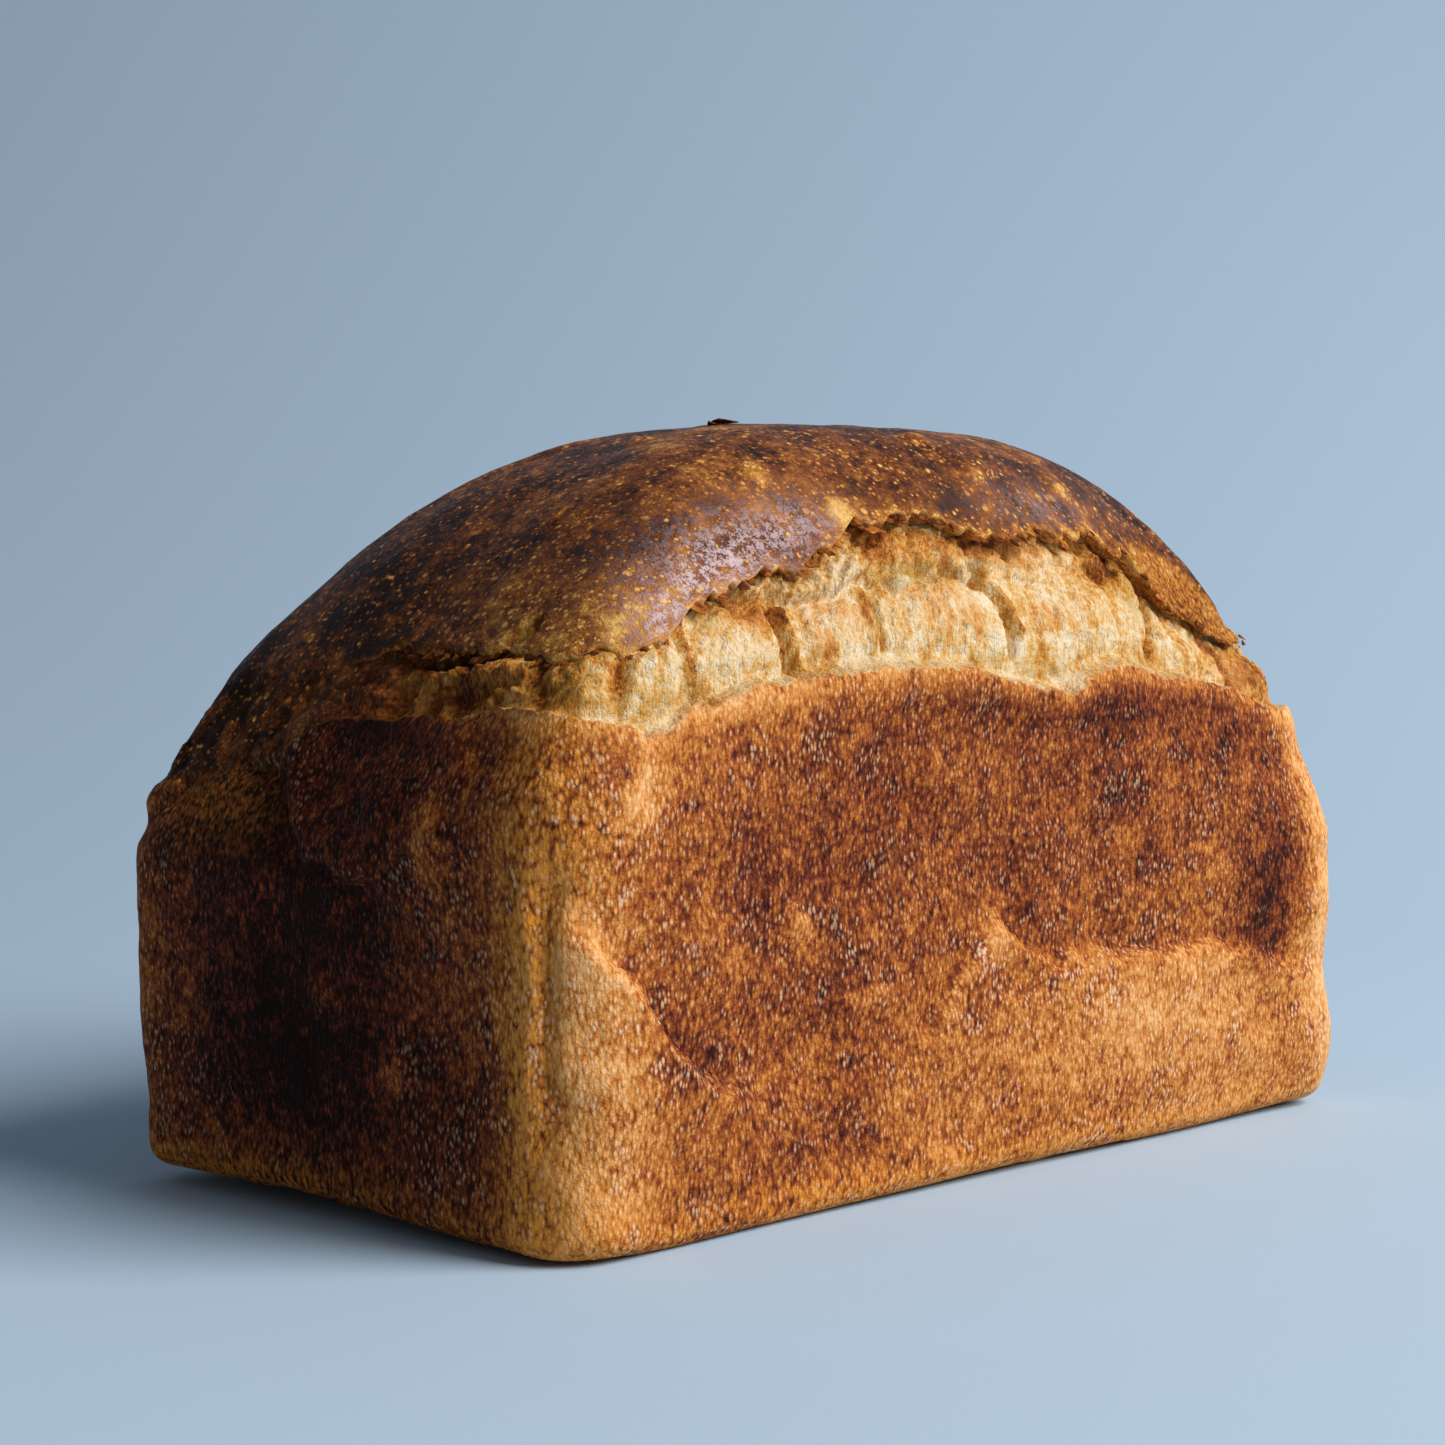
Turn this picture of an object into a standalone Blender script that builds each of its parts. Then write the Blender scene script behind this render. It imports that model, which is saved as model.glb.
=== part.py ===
"""An uncut sourdough loaf baked in a bread tin: four tin-baked walls, a domed top, and the long tear
where the dome lifted off the walls along the front. It is one solid, in metres, +Z up, with its origin
at the middle of its base. The front, with the tear, faces -Y, and the loaf is longest along X."""

import bpy
import numpy as np

MM = 0.001

# The tin sets the walls: its inside at the base, and the radius of its four upright corners.
LENGTH = 216 * MM
WIDTH = 112 * MM
CORNER_RADIUS = {"front_left": 12 * MM, "front_right": 8 * MM, "back_right": 9 * MM, "back_left": 8 * MM}

# The dome: how high it stands, how far its peak sits off centre, how square its level lines are, how
# soon the tin's corners fade above the shoulder, and the powers of its profile.
PEAK_HEIGHT = 136.5 * MM
PEAK_SHIFT = 15 * MM
LEVEL_LINE_POWER = 2.9
CORNER_FADE = 2.5
DOME_FLATNESS = 3.5
DOME_FULLNESS = 1.34

# The lower edge is rounded, and lifts off the table in places. The flat underside stops this far in
# from the wall, and further where the edge is lifted.
EDGE_RADIUS = 4 * MM
BASE_INSET = 6 * MM
INSET_PER_LIFT = 6

# The crust at the tear: the side crust's edge rolls out over this height, and the dome's crust ends
# in a lip that curls out a little.
EDGE_ROLL = 1.5 * MM
ROLL_HEIGHT = 9 * MM
LIP_THICKNESS = 2.6 * MM
LIP_CURL = 0.8 * MM

# The torn crumb: how far it lies under the crust, how its pillows swell, the ledge of half torn
# crumb above the pillows with the hollow below it, and the recess under the lip.
CRUMB_SET_BACK = 3.2 * MM
PILLOW_SWELL = 1.6 * MM
PILLOW_TOP = 0.6
LEDGE_HOLLOW = 2 * MM
LEDGE_SWELL = 1.8 * MM
RECESS = 2.5 * MM

# The mesh: columns round the walls, rows up them, and the rows of the dome where every second column
# ends.
COLUMNS = {"front": 52, "right": 22, "back": 32, "left": 22}
EDGE_ROWS = 2
WALL_ROWS = 9
TEAR_ROWS = 9
DOME_ROWS = 12
HALVED_AT = (4, 8)


def smooth_step(value, low, high):
    """0 below low, 1 above high, and a smooth rise between them."""
    share = np.clip((value - low) / (high - low), 0, 1)
    return share * share * (3 - 2 * share)


# The way round the walls is measured in metres along the tin's wall, from the middle of the
# front left corner: along the front, the right end, the back and the left end.
CORNERS = ["front_left", "front_right", "back_right", "back_left"]
SIDES = ["front", "right", "back", "left"]
SIDE_STRAIGHT = {"front": LENGTH, "right": WIDTH, "back": LENGTH, "left": WIDTH}


def side_parts(side):
    """The half corner, the straight run and the half corner that make one side, as lengths."""
    i = SIDES.index(side)
    first = CORNER_RADIUS[CORNERS[i]]
    last = CORNER_RADIUS[CORNERS[(i + 1) % 4]]
    return first * np.pi / 4, SIDE_STRAIGHT[side] - first - last, last * np.pi / 4


SIDE_LENGTH = {side: sum(side_parts(side)) for side in SIDES}
ROUND_TRIP = sum(SIDE_LENGTH.values())
SIDE_START = {side: sum(SIDE_LENGTH[s] for s in SIDES[:i]) for i, side in enumerate(SIDES)}


def front(x):
    """The place round the walls of a point x along the front wall."""
    turn, _, _ = side_parts("front")
    return turn + x + LENGTH / 2 - CORNER_RADIUS["front_left"]


def right_end(y):
    turn, _, _ = side_parts("right")
    return SIDE_START["right"] + turn + y + WIDTH / 2 - CORNER_RADIUS["front_right"]


def back(x):
    turn, _, _ = side_parts("back")
    return SIDE_START["back"] + turn - x + LENGTH / 2 - CORNER_RADIUS["back_right"]


def left_end(y):
    turn, _, _ = side_parts("left")
    return SIDE_START["left"] + turn - y + WIDTH / 2 - CORNER_RADIUS["back_left"]


def corner(name):
    return SIDE_START[SIDES[CORNERS.index(name)]]


def wall_plan(place):
    """The wall's line at the base and its outward direction, at each place round the walls."""
    place = np.mod(place, ROUND_TRIP)
    points = np.zeros(place.shape + (2,))
    outward = np.zeros(place.shape + (2,))
    for i, side in enumerate(SIDES):
        first, straight, last = side_parts(side)
        here = (place >= SIDE_START[side]) & (place < SIDE_START[side] + SIDE_LENGTH[side])
        along = place[here] - SIDE_START[side]
        radius = CORNER_RADIUS[CORNERS[i]]
        end_radius = CORNER_RADIUS[CORNERS[(i + 1) % 4]]
        half = SIDE_STRAIGHT[side] / 2
        deep = (WIDTH if side in ("front", "back") else LENGTH) / 2
        turn = np.where(along < first, along / radius - np.pi / 4, 0)
        turn = np.where(along > first + straight, (along - first - straight) / end_radius, turn)
        bend = np.where(along < first, radius, end_radius)
        middle = np.clip(along - first, 0, straight) - half + radius
        local = np.stack([middle + bend * np.sin(turn), -deep + bend * (1 - np.cos(turn))], -1)
        facing = np.stack([np.sin(turn), -np.cos(turn)], -1)
        for _ in range(i):
            local = np.stack([-local[:, 1], local[:, 0]], -1)
            facing = np.stack([-facing[:, 1], facing[:, 0]], -1)
        points[here] = local
        outward[here] = facing
    return points, outward


def round_walls(place, stations):
    """A value that eases from station to station round the walls; a station is (place, value)."""
    stations = sorted((at % ROUND_TRIP, value) for at, value in stations)
    places = np.array([at for at, _ in stations])
    values = np.array([value for _, value in stations])
    places = np.concatenate([places - ROUND_TRIP, places, places + ROUND_TRIP])
    values = np.tile(values, 3)
    place = np.mod(place, ROUND_TRIP)
    k = np.searchsorted(places, place, side="right") - 1
    share = smooth_step(place, places[k], places[k + 1])
    return values[k] * (1 - share) + values[k + 1] * share


def along_from(place, at):
    """The signed distance round the walls from a place."""
    return np.mod(place - at + ROUND_TRIP / 2, ROUND_TRIP) - ROUND_TRIP / 2


def swelling(place, height, at, up, wide, tall):
    """A soft round swelling of the wall, 1 at its middle."""
    return np.exp(-((along_from(place, at) / wide) ** 2) - ((height - up) / tall) ** 2)


# Where the dome springs from the walls.
SHOULDER = [
    (corner("front_left"), 73 * MM), (front(0), 89 * MM), (corner("front_right"), 55 * MM),
    (right_end(0), 70 * MM), (corner("back_right"), 64 * MM), (back(0), 80 * MM),
    (corner("back_left"), 60 * MM), (left_end(0), 56 * MM),
]

# How far the walls lean out above the base.
FLARE = [
    (corner("front_left"), 0.5 * MM), (front(0), 0.5 * MM), (corner("front_right"), 2.6 * MM),
    (right_end(0), 1 * MM), (corner("back_right"), 2 * MM), (back(0), 2 * MM),
    (corner("back_left"), 2.5 * MM), (left_end(0), 2 * MM),
]

# The tear: how open it is, where the side crust stops, and where the dome's crust starts again.
TEAR = [
    (left_end(25 * MM), 0), (left_end(-5 * MM), 0.6), (left_end(-25 * MM), 1), (front(0), 1),
    (right_end(-30 * MM), 1), (right_end(10 * MM), 0.5), (right_end(40 * MM), 0), (back(70 * MM), 0),
    (back(25 * MM), 0.45), (back(-30 * MM), 0.3), (back(-70 * MM), 0),
]
CRUST_EDGE = [
    (left_end(45 * MM), 68 * MM), (left_end(23 * MM), 75 * MM), (left_end(7 * MM), 83 * MM),
    (left_end(-30 * MM), 84 * MM), (left_end(-45 * MM), 85 * MM), (front(-100 * MM), 84 * MM),
    (front(-90 * MM), 82 * MM), (front(-79 * MM), 86.5 * MM), (front(-65 * MM), 89 * MM),
    (front(-45 * MM), 91 * MM), (front(-16 * MM), 91.5 * MM), (front(0), 89 * MM),
    (front(16 * MM), 86 * MM), (front(35 * MM), 90 * MM), (front(60 * MM), 87.5 * MM),
    (front(80 * MM), 85 * MM), (front(92 * MM), 81.5 * MM), (corner("front_right"), 80.5 * MM),
    (right_end(0), 78 * MM), (corner("back_right"), 72 * MM), (back(40 * MM), 84 * MM),
    (back(0), 86 * MM), (back(-40 * MM), 83 * MM), (corner("back_left"), 64 * MM),
]
LIP = [
    (left_end(45 * MM), 76 * MM), (left_end(28 * MM), 80 * MM), (left_end(16 * MM), 92 * MM),
    (left_end(-5 * MM), 95.5 * MM), (left_end(-45 * MM), 94.5 * MM), (front(-98 * MM), 95.5 * MM),
    (front(-85 * MM), 102.5 * MM), (front(-74 * MM), 107 * MM), (front(-60 * MM), 109 * MM),
    (front(-40 * MM), 116.5 * MM), (front(-20 * MM), 118 * MM), (front(0), 116 * MM),
    (front(45 * MM), 115.5 * MM), (front(60 * MM), 112 * MM), (front(72 * MM), 101 * MM),
    (front(88 * MM), 96 * MM), (corner("front_right"), 95 * MM), (right_end(0), 92 * MM),
    (corner("back_right"), 82 * MM), (back(40 * MM), 94 * MM), (back(0), 98 * MM),
    (back(-40 * MM), 92 * MM), (corner("back_left"), 72 * MM),
]

# How far the dome's crust reaches out over the tear.
OVERHANG = [
    (left_end(0), 1.5 * MM), (left_end(-30 * MM), 4.5 * MM), (front(-85 * MM), 3 * MM),
    (front(-55 * MM), 4 * MM), (front(-20 * MM), 2.5 * MM), (front(60 * MM), 3 * MM),
    (corner("front_right"), 5 * MM), (right_end(0), 3 * MM), (back(0), 2 * MM),
]

# The creases that part the torn crumb into pillows: place, how far across the tear they start and
# stop (0 at the side crust, 1 at the lip), and depth.
CREASES = [
    (left_end(-22 * MM), 0.2, 1, 4 * MM), (front(-78 * MM), 0.1, 0.9, 2.5 * MM),
    (front(-58 * MM), 0.1, 0.7, 2.5 * MM), (front(-33 * MM), 0.1, 0.6, 3 * MM),
    (front(6 * MM), 0, 0.6, 3 * MM), (front(47 * MM), 0.2, 1, 3 * MM),
    (front(84 * MM), 0.3, 1, 3 * MM), (right_end(-25 * MM), 0.1, 0.8, 2.5 * MM),
    (right_end(5 * MM), 0.2, 0.9, 2 * MM), (back(30 * MM), 0.1, 0.9, 2 * MM),
    (back(-5 * MM), 0.1, 0.8, 2.5 * MM),
]
CREASE_WIDTH = 3.5 * MM
LEDGE = [(front(-50 * MM), 0), (front(-30 * MM), 1), (front(35 * MM), 1), (front(50 * MM), 0)]

# The lip's underside, from the back of the tear to its edge: how far behind the edge each row lies as
# a share of the overhang, and how far under the crust as a share of the lip's thickness. Where the
# loaf isn't torn, the rows step up its surface by these shares of the height from edge to lip.
LIP_UNDERSIDE = np.array([0.75, 0.3, 0])
LIP_ROUNDING = np.array([1.3, 1.1, 0.75])
UNTORN_STEPS = np.array([0.03, 0.06, 0.09])

# Swellings and hollows of the walls: place, height, how wide, how tall, how far out.
WALL_SWELLINGS = [
    (corner("front_right"), 13 * MM, 18 * MM, 12 * MM, 3.2 * MM),
    (front(45 * MM), 20 * MM, 42 * MM, 15 * MM, 1.8 * MM),
    (front(-92 * MM), 24 * MM, 16 * MM, 22 * MM, 1.6 * MM),
    (front(-15 * MM), 58 * MM, 55 * MM, 28 * MM, -2.2 * MM),
    (front(-60 * MM), 30 * MM, 16 * MM, 18 * MM, -1.8 * MM),
    (left_end(-14 * MM), 72 * MM, 22 * MM, 12 * MM, 3.2 * MM),
    (left_end(0), 40 * MM, 36 * MM, 20 * MM, -2 * MM),
    (right_end(0), 42 * MM, 36 * MM, 24 * MM, -1.8 * MM),
    (back(30 * MM), 44 * MM, 60 * MM, 24 * MM, -2 * MM),
    (back(-70 * MM), 22 * MM, 30 * MM, 16 * MM, 1.5 * MM),
]

# Where the lower edge lifts off the table, and how far.
EDGE_LIFT = [
    (front(-80 * MM), 0), (front(-30 * MM), 0.5 * MM), (front(10 * MM), 0.9 * MM), (front(60 * MM), 0.3 * MM),
    (corner("front_right"), 1.2 * MM), (right_end(0), 1.5 * MM), (back(60 * MM), 0.3 * MM),
    (back(-40 * MM), 1 * MM), (corner("back_left"), 3 * MM), (left_end(10 * MM), 3.3 * MM),
    (left_end(-35 * MM), 1.3 * MM), (corner("front_left"), 0.7 * MM),
]


def wall_surface(place, height):
    """Points of the walls, before the tear."""
    plan, outward = wall_plan(place)
    out = round_walls(place, FLARE) * smooth_step(height, 0, 50 * MM)
    for at, up, wide, tall, far in WALL_SWELLINGS:
        out = out + far * swelling(place, height, at, up, wide, tall)
    lift = round_walls(place, EDGE_LIFT)
    below = np.clip((EDGE_RADIUS + lift - height) / EDGE_RADIUS, 0, 1)
    out = out - EDGE_RADIUS * (1 - np.sqrt(1 - below ** 2))
    points = plan + out[..., None] * outward
    return np.concatenate([points, height[..., None]], -1)


def dome_surface(place, rise):
    """Points of the dome, before the tear; rise is 0 at the shoulder and 1 at the peak."""
    plan, outward = wall_plan(place)
    inward = np.cos(np.clip(rise, 0, 1) * np.pi / 2)
    shoulder = round_walls(place, SHOULDER)
    height = shoulder + (PEAK_HEIGHT - shoulder) * (1 - inward ** DOME_FLATNESS) ** (1 / DOME_FULLNESS)
    half = np.array([LENGTH, WIDTH]) / 2
    oval = plan / half
    oval = oval / (np.abs(oval) ** LEVEL_LINE_POWER).sum(-1, keepdims=True) ** (1 / LEVEL_LINE_POWER) * half
    square = inward[..., None]
    keep = square ** CORNER_FADE
    points = square * ((1 - keep) * oval + keep * plan)
    points[..., 0] += PEAK_SHIFT * (1 - inward ** 2)
    out = round_walls(place, FLARE)
    for at, up, wide, tall, far in WALL_SWELLINGS:
        out = out + far * swelling(place, height, at, up, wide, tall)
    points = points + (out * inward ** 4)[..., None] * outward
    return np.concatenate([points, height[..., None]], -1)


def rise_at(place, height):
    """How far up the dome a height is; below the shoulder it is the wall, counted as less than 0."""
    shoulder = round_walls(place, SHOULDER)
    share = np.clip((height - shoulder) / (PEAK_HEIGHT - shoulder), 0, 1)
    inward = (1 - share ** DOME_FULLNESS) ** (1 / DOME_FLATNESS)
    return np.where(height < shoulder, height / shoulder - 1, np.arccos(inward) * 2 / np.pi)


def whole_surface(place, rise):
    """Points of the loaf before the tear: the wall for a rise below 0, and the dome above it."""
    on_wall = wall_surface(place, round_walls(place, SHOULDER) * (1 + np.minimum(rise, 0)))
    on_dome = dome_surface(place, rise)
    return np.where((rise < 0)[..., None], on_wall, on_dome)


def outward_at(place, rise):
    """The direction straight out of the untorn loaf."""
    step = 0.004
    across = whole_surface(place + 1 * MM, rise) - whole_surface(place - 1 * MM, rise)
    up = whole_surface(place, np.minimum(rise + step, 0.999)) - whole_surface(place, rise - step)
    straight = np.cross(across, up)
    return straight / np.linalg.norm(straight, axis=-1, keepdims=True)


def crumb_depth(place, share):
    """How far the torn crumb lies under the untorn loaf; share is 0 at the side crust and 1 at the lip."""
    depth = CRUMB_SET_BACK * smooth_step(share, 0, 0.15)
    depth = depth - PILLOW_SWELL * np.sin(np.pi * np.clip(share / PILLOW_TOP, 0, 1)) ** 2
    ledge = round_walls(place, LEDGE)
    depth = depth + LEDGE_HOLLOW * ledge * np.exp(-(((share - PILLOW_TOP) / 0.07) ** 2))
    depth = depth - LEDGE_SWELL * ledge * np.exp(-(((share - PILLOW_TOP - 0.14) / 0.1) ** 2))
    for at, low, high, deep in CREASES:
        reach = smooth_step(share, low - 0.1, low + 0.1) * (1 - smooth_step(share, high - 0.1, high + 0.1))
        depth = depth + deep * reach * np.exp(-((along_from(place, at) / CREASE_WIDTH) ** 2))
    return depth + RECESS * smooth_step(share, 0.85, 1.05)


def moved_out(place, rise, out):
    """Points of the untorn loaf, moved straight out of it by a distance, or in where that is below 0."""
    place = np.broadcast_to(place, rise.shape)
    return whole_surface(place, rise) + out[..., None] * outward_at(place, rise)


def wall_rows(place):
    """From the rim of the flat underside, round the lower edge, and up to the side crust's edge."""
    lift = round_walls(place, EDGE_LIFT)
    edge = round_walls(place, CRUST_EDGE)
    turned = lift + EDGE_RADIUS * (1 - np.cos(np.linspace(0, np.pi / 2, EDGE_ROWS + 1)))
    start = turned[:, -1:]
    upright = start + (edge - start) * np.linspace(0, 1, WALL_ROWS + 1)[1:]
    height = np.concatenate([turned, upright], 1)
    roll = EDGE_ROLL * round_walls(place, TEAR) * smooth_step(height, edge - ROLL_HEIGHT, edge)
    walls = moved_out(place, rise_at(place, height), roll)
    rim = walls[:, :1].copy()
    inset = BASE_INSET - EDGE_RADIUS + INSET_PER_LIFT * lift
    rim[..., :2] *= 1 - inset[..., None] / (np.array([LENGTH, WIDTH]) / 2)
    rim[..., 2] = 0
    return np.concatenate([rim, walls], 1)


def tear_rows(place):
    """From the side crust's edge over the crumb, in behind the lip, and out again along its underside.
    Where the loaf isn't torn, the same rows lie evenly on its surface."""
    openness = round_walls(place, TEAR)
    edge = round_walls(place, CRUST_EDGE)
    lip = round_walls(place, LIP)
    low = rise_at(place, edge)
    high = rise_at(place, lip)
    behind = openness * round_walls(place, OVERHANG) / (lip - edge)
    crumb_share = np.linspace(0, 1, TEAR_ROWS + 1)[1:] * (1 + behind)
    crumb = openness * crumb_depth(place, crumb_share)
    under_share = 1 + behind * LIP_UNDERSIDE + (1 - openness) * UNTORN_STEPS
    under = openness * LIP_THICKNESS * LIP_ROUNDING
    share = np.concatenate([crumb_share, under_share], 1)
    return moved_out(place, low + (high - low) * share, -np.concatenate([crumb, under], 1))


def dome_rows(place):
    """From the lip up to the last ring before the peak."""
    openness = round_walls(place, TEAR)
    low = rise_at(place, round_walls(place, CRUST_EDGE))
    high = rise_at(place, round_walls(place, LIP))
    first = low + (high - low) * (1.02 + (1 - openness) * 0.1)
    row = np.arange(DOME_ROWS)
    return moved_out(place, first + (1 - first) * row / DOME_ROWS, LIP_CURL * openness * np.exp(-row))


def column_places():
    """Evenly spaced columns on each side, from corner to corner."""
    sides = []
    for side, count in COLUMNS.items():
        sides.append(SIDE_START[side] + np.arange(count) * SIDE_LENGTH[side] / count)
    return np.concatenate(sides)[:, None]


def loaf_mesh():
    """One closed skin: the flat underside, the rows with quads between them, and the peak."""
    place = column_places()
    rows = np.concatenate([wall_rows(place), tear_rows(place), dome_rows(place)], 1).transpose(1, 0, 2)
    points = rows[0].tolist()
    below = list(range(len(points)))
    faces = [below[::-1]]
    step = 1
    for number, row in enumerate(rows[1:], 1):
        halved = number - (len(rows) - DOME_ROWS) in HALVED_AT
        step *= 2 if halved else 1
        above = [len(points) + i for i in range(len(row) // step)]
        points += row[::step].tolist()
        for i, here in enumerate(above):
            following = above[(i + 1) % len(above)]
            if halved:
                left, middle, right = (below[(2 * i + k) % len(below)] for k in range(3))
                faces += [[left, middle, here], [middle, following, here], [middle, right, following]]
            else:
                faces.append([below[i], below[(i + 1) % len(below)], following, here])
        below = above
    peak = len(points)
    points.append([PEAK_SHIFT, 0, PEAK_HEIGHT])
    faces += [[left, right, peak] for left, right in zip(below, below[1:] + below[:1])]
    return points, faces


def crust_material():
    material = bpy.data.materials.new("baked_crust")
    material.use_nodes = True
    shader = material.node_tree.nodes["Principled BSDF"]
    shader.inputs["Base Color"].default_value = (0.235, 0.085, 0.030, 1)
    shader.inputs["Roughness"].default_value = 0.5
    shader.inputs["Metallic"].default_value = 0
    return material


for leftover in list(bpy.data.objects):
    bpy.data.objects.remove(leftover)

mesh_points, mesh_faces = loaf_mesh()
loaf_data = bpy.data.meshes.new("loaf")
loaf_data.from_pydata(mesh_points, [], mesh_faces)
loaf_data.materials.append(crust_material())
loaf_data.shade_smooth()
loaf = bpy.data.objects.new("loaf", loaf_data)
bpy.context.scene.collection.objects.link(loaf)
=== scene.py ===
import itertools
import math

import bpy
import numpy as np
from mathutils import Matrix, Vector


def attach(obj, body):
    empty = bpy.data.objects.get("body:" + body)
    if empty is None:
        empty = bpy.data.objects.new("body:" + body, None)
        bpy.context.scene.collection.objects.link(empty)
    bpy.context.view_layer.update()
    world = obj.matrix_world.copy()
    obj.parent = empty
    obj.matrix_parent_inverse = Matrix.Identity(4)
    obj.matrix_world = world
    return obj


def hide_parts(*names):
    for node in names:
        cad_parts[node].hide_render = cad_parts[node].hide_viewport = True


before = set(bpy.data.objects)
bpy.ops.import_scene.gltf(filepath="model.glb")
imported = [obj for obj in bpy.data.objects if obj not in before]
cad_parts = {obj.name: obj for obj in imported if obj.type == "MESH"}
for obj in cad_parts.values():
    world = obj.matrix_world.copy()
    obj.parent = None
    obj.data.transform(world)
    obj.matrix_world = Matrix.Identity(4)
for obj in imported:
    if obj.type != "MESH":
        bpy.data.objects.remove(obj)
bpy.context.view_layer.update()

# The loaf's form: sourdough that proved and baked in a tin. The tin shaped its four walls and its lower
# edge, and above the rim it rose into a dome. These are the sizes of the loaf before its front tore.
MM = 0.001
LENGTH = 216 * MM
WIDTH = 112 * MM
CORNER_RADIUS = {"front_left": 12 * MM, "front_right": 8 * MM, "back_right": 9 * MM, "back_left": 8 * MM}
EDGE_RADIUS = 4 * MM

# The dome, from the tin's rim up to its peak. Its level lines are squarish ovals: the first power says how
# square, the second how soon the tin's corners fade. The last two say how flat and how full its sides are.
PEAK_HEIGHT = 136.5 * MM
PEAK_SHIFT = 15 * MM
LEVEL_LINE_POWER = 2.9
CORNER_FADE = 2.5
DOME_FLATNESS = 3.5
DOME_FULLNESS = 1.34


def smooth_step(value, low, high):
    """0 below low, 1 above high, and a smooth rise between them."""
    share = np.clip((value - low) / (high - low), 0, 1)
    return share * share * (3 - 2 * share)


# The way round the walls is measured in metres along the tin's wall, from the middle of the front left
# corner: along the front, the right end, the back and the left end.
CORNERS = ["front_left", "front_right", "back_right", "back_left"]
SIDES = ["front", "right", "back", "left"]
SIDE_STRAIGHT = {"front": LENGTH, "right": WIDTH, "back": LENGTH, "left": WIDTH}


def side_parts(side):
    """The half corner, the straight run and the half corner that make one side, as lengths."""
    i = SIDES.index(side)
    first = CORNER_RADIUS[CORNERS[i]]
    last = CORNER_RADIUS[CORNERS[(i + 1) % 4]]
    return first * np.pi / 4, SIDE_STRAIGHT[side] - first - last, last * np.pi / 4


SIDE_LENGTH = {side: sum(side_parts(side)) for side in SIDES}
ROUND_TRIP = sum(SIDE_LENGTH.values())
SIDE_START = {side: sum(SIDE_LENGTH[s] for s in SIDES[:i]) for i, side in enumerate(SIDES)}
FRONT_LEFT, FRONT_RIGHT, BACK_RIGHT, BACK_LEFT = SIDE_START.values()


def on_side(side, along):
    """The place round the walls of a point on one side, along millimetres on from the side's middle."""
    turn, _, _ = side_parts(side)
    radius = CORNER_RADIUS[CORNERS[SIDES.index(side)]]
    return SIDE_START[side] + turn + along * MM + SIDE_STRAIGHT[side] / 2 - radius


def front(x):
    return on_side("front", x)


def right_end(y):
    return on_side("right", y)


def back(x):
    return on_side("back", -x)


def left_end(y):
    return on_side("left", -y)


def wall_plan(place):
    """The wall's line at the base and its outward direction, at each place round the walls."""
    place = np.mod(place, ROUND_TRIP)
    points = np.zeros(place.shape + (2,))
    outward = np.zeros(place.shape + (2,))
    for i, side in enumerate(SIDES):
        first, straight, last = side_parts(side)
        here = (place >= SIDE_START[side]) & (place < SIDE_START[side] + SIDE_LENGTH[side])
        along = place[here] - SIDE_START[side]
        radius = CORNER_RADIUS[CORNERS[i]]
        end_radius = CORNER_RADIUS[CORNERS[(i + 1) % 4]]
        half = SIDE_STRAIGHT[side] / 2
        deep = (WIDTH if side in ("front", "back") else LENGTH) / 2
        turn = np.where(along < first, along / radius - np.pi / 4, 0)
        turn = np.where(along > first + straight, (along - first - straight) / end_radius, turn)
        bend = np.where(along < first, radius, end_radius)
        middle = np.clip(along - first, 0, straight) - half + radius
        local = np.stack([middle + bend * np.sin(turn), -deep + bend * (1 - np.cos(turn))], -1)
        facing = np.stack([np.sin(turn), -np.cos(turn)], -1)
        for _ in range(i):
            local = np.stack([-local[:, 1], local[:, 0]], -1)
            facing = np.stack([-facing[:, 1], facing[:, 0]], -1)
        points[here] = local
        outward[here] = facing
    return points, outward


def round_walls(place, stations):
    """A value that eases from station to station round the walls; a station is (place, value)."""
    stations = sorted((at % ROUND_TRIP, value) for at, value in stations)
    places = np.array([at for at, _ in stations])
    values = np.array([value for _, value in stations])
    places = np.concatenate([places - ROUND_TRIP, places, places + ROUND_TRIP])
    values = np.tile(values, 3)
    place = np.mod(place, ROUND_TRIP)
    k = np.searchsorted(places, place, side="right") - 1
    share = smooth_step(place, places[k], places[k + 1])
    return values[k] * (1 - share) + values[k + 1] * share


def along_from(place, at):
    """The signed distance round the walls from a place."""
    return np.mod(place - at + ROUND_TRIP / 2, ROUND_TRIP) - ROUND_TRIP / 2


def swelling(place, height, at, up, wide, tall):
    """A soft round swelling of the wall, 1 at its middle."""
    return np.exp(-((along_from(place, at) / wide) ** 2) - ((height - up) / tall) ** 2)


def swellings(table, place, height):
    """How far a table's swellings and hollows move the loaf's skin out."""
    return sum(far * swelling(place, height, *where) for *where, far in table)


def in_metres(rows):
    """A table with its sizes turned from millimetres to metres. Each row starts with a place or a line."""
    turned = []
    for start, *values in rows:
        if isinstance(start, list):
            start = in_metres(start)
        turned.append((start, *[value * MM for value in values]))
    return turned


# Where the dome springs from the walls.
SHOULDER = in_metres([
    (FRONT_LEFT, 73), (front(0), 89), (FRONT_RIGHT, 55), (right_end(0), 70), (BACK_RIGHT, 64),
    (back(0), 80), (BACK_LEFT, 60), (left_end(0), 56),
])

# How far the walls lean out above the base, and the height where they have leant out in full.
FLARE_HEIGHT = 50 * MM
FLARE = in_metres([
    (FRONT_LEFT, 0.5), (front(0), 0.5), (FRONT_RIGHT, 2.6), (right_end(0), 1), (BACK_RIGHT, 2),
    (back(0), 2), (BACK_LEFT, 2.5), (left_end(0), 2),
])

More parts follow.
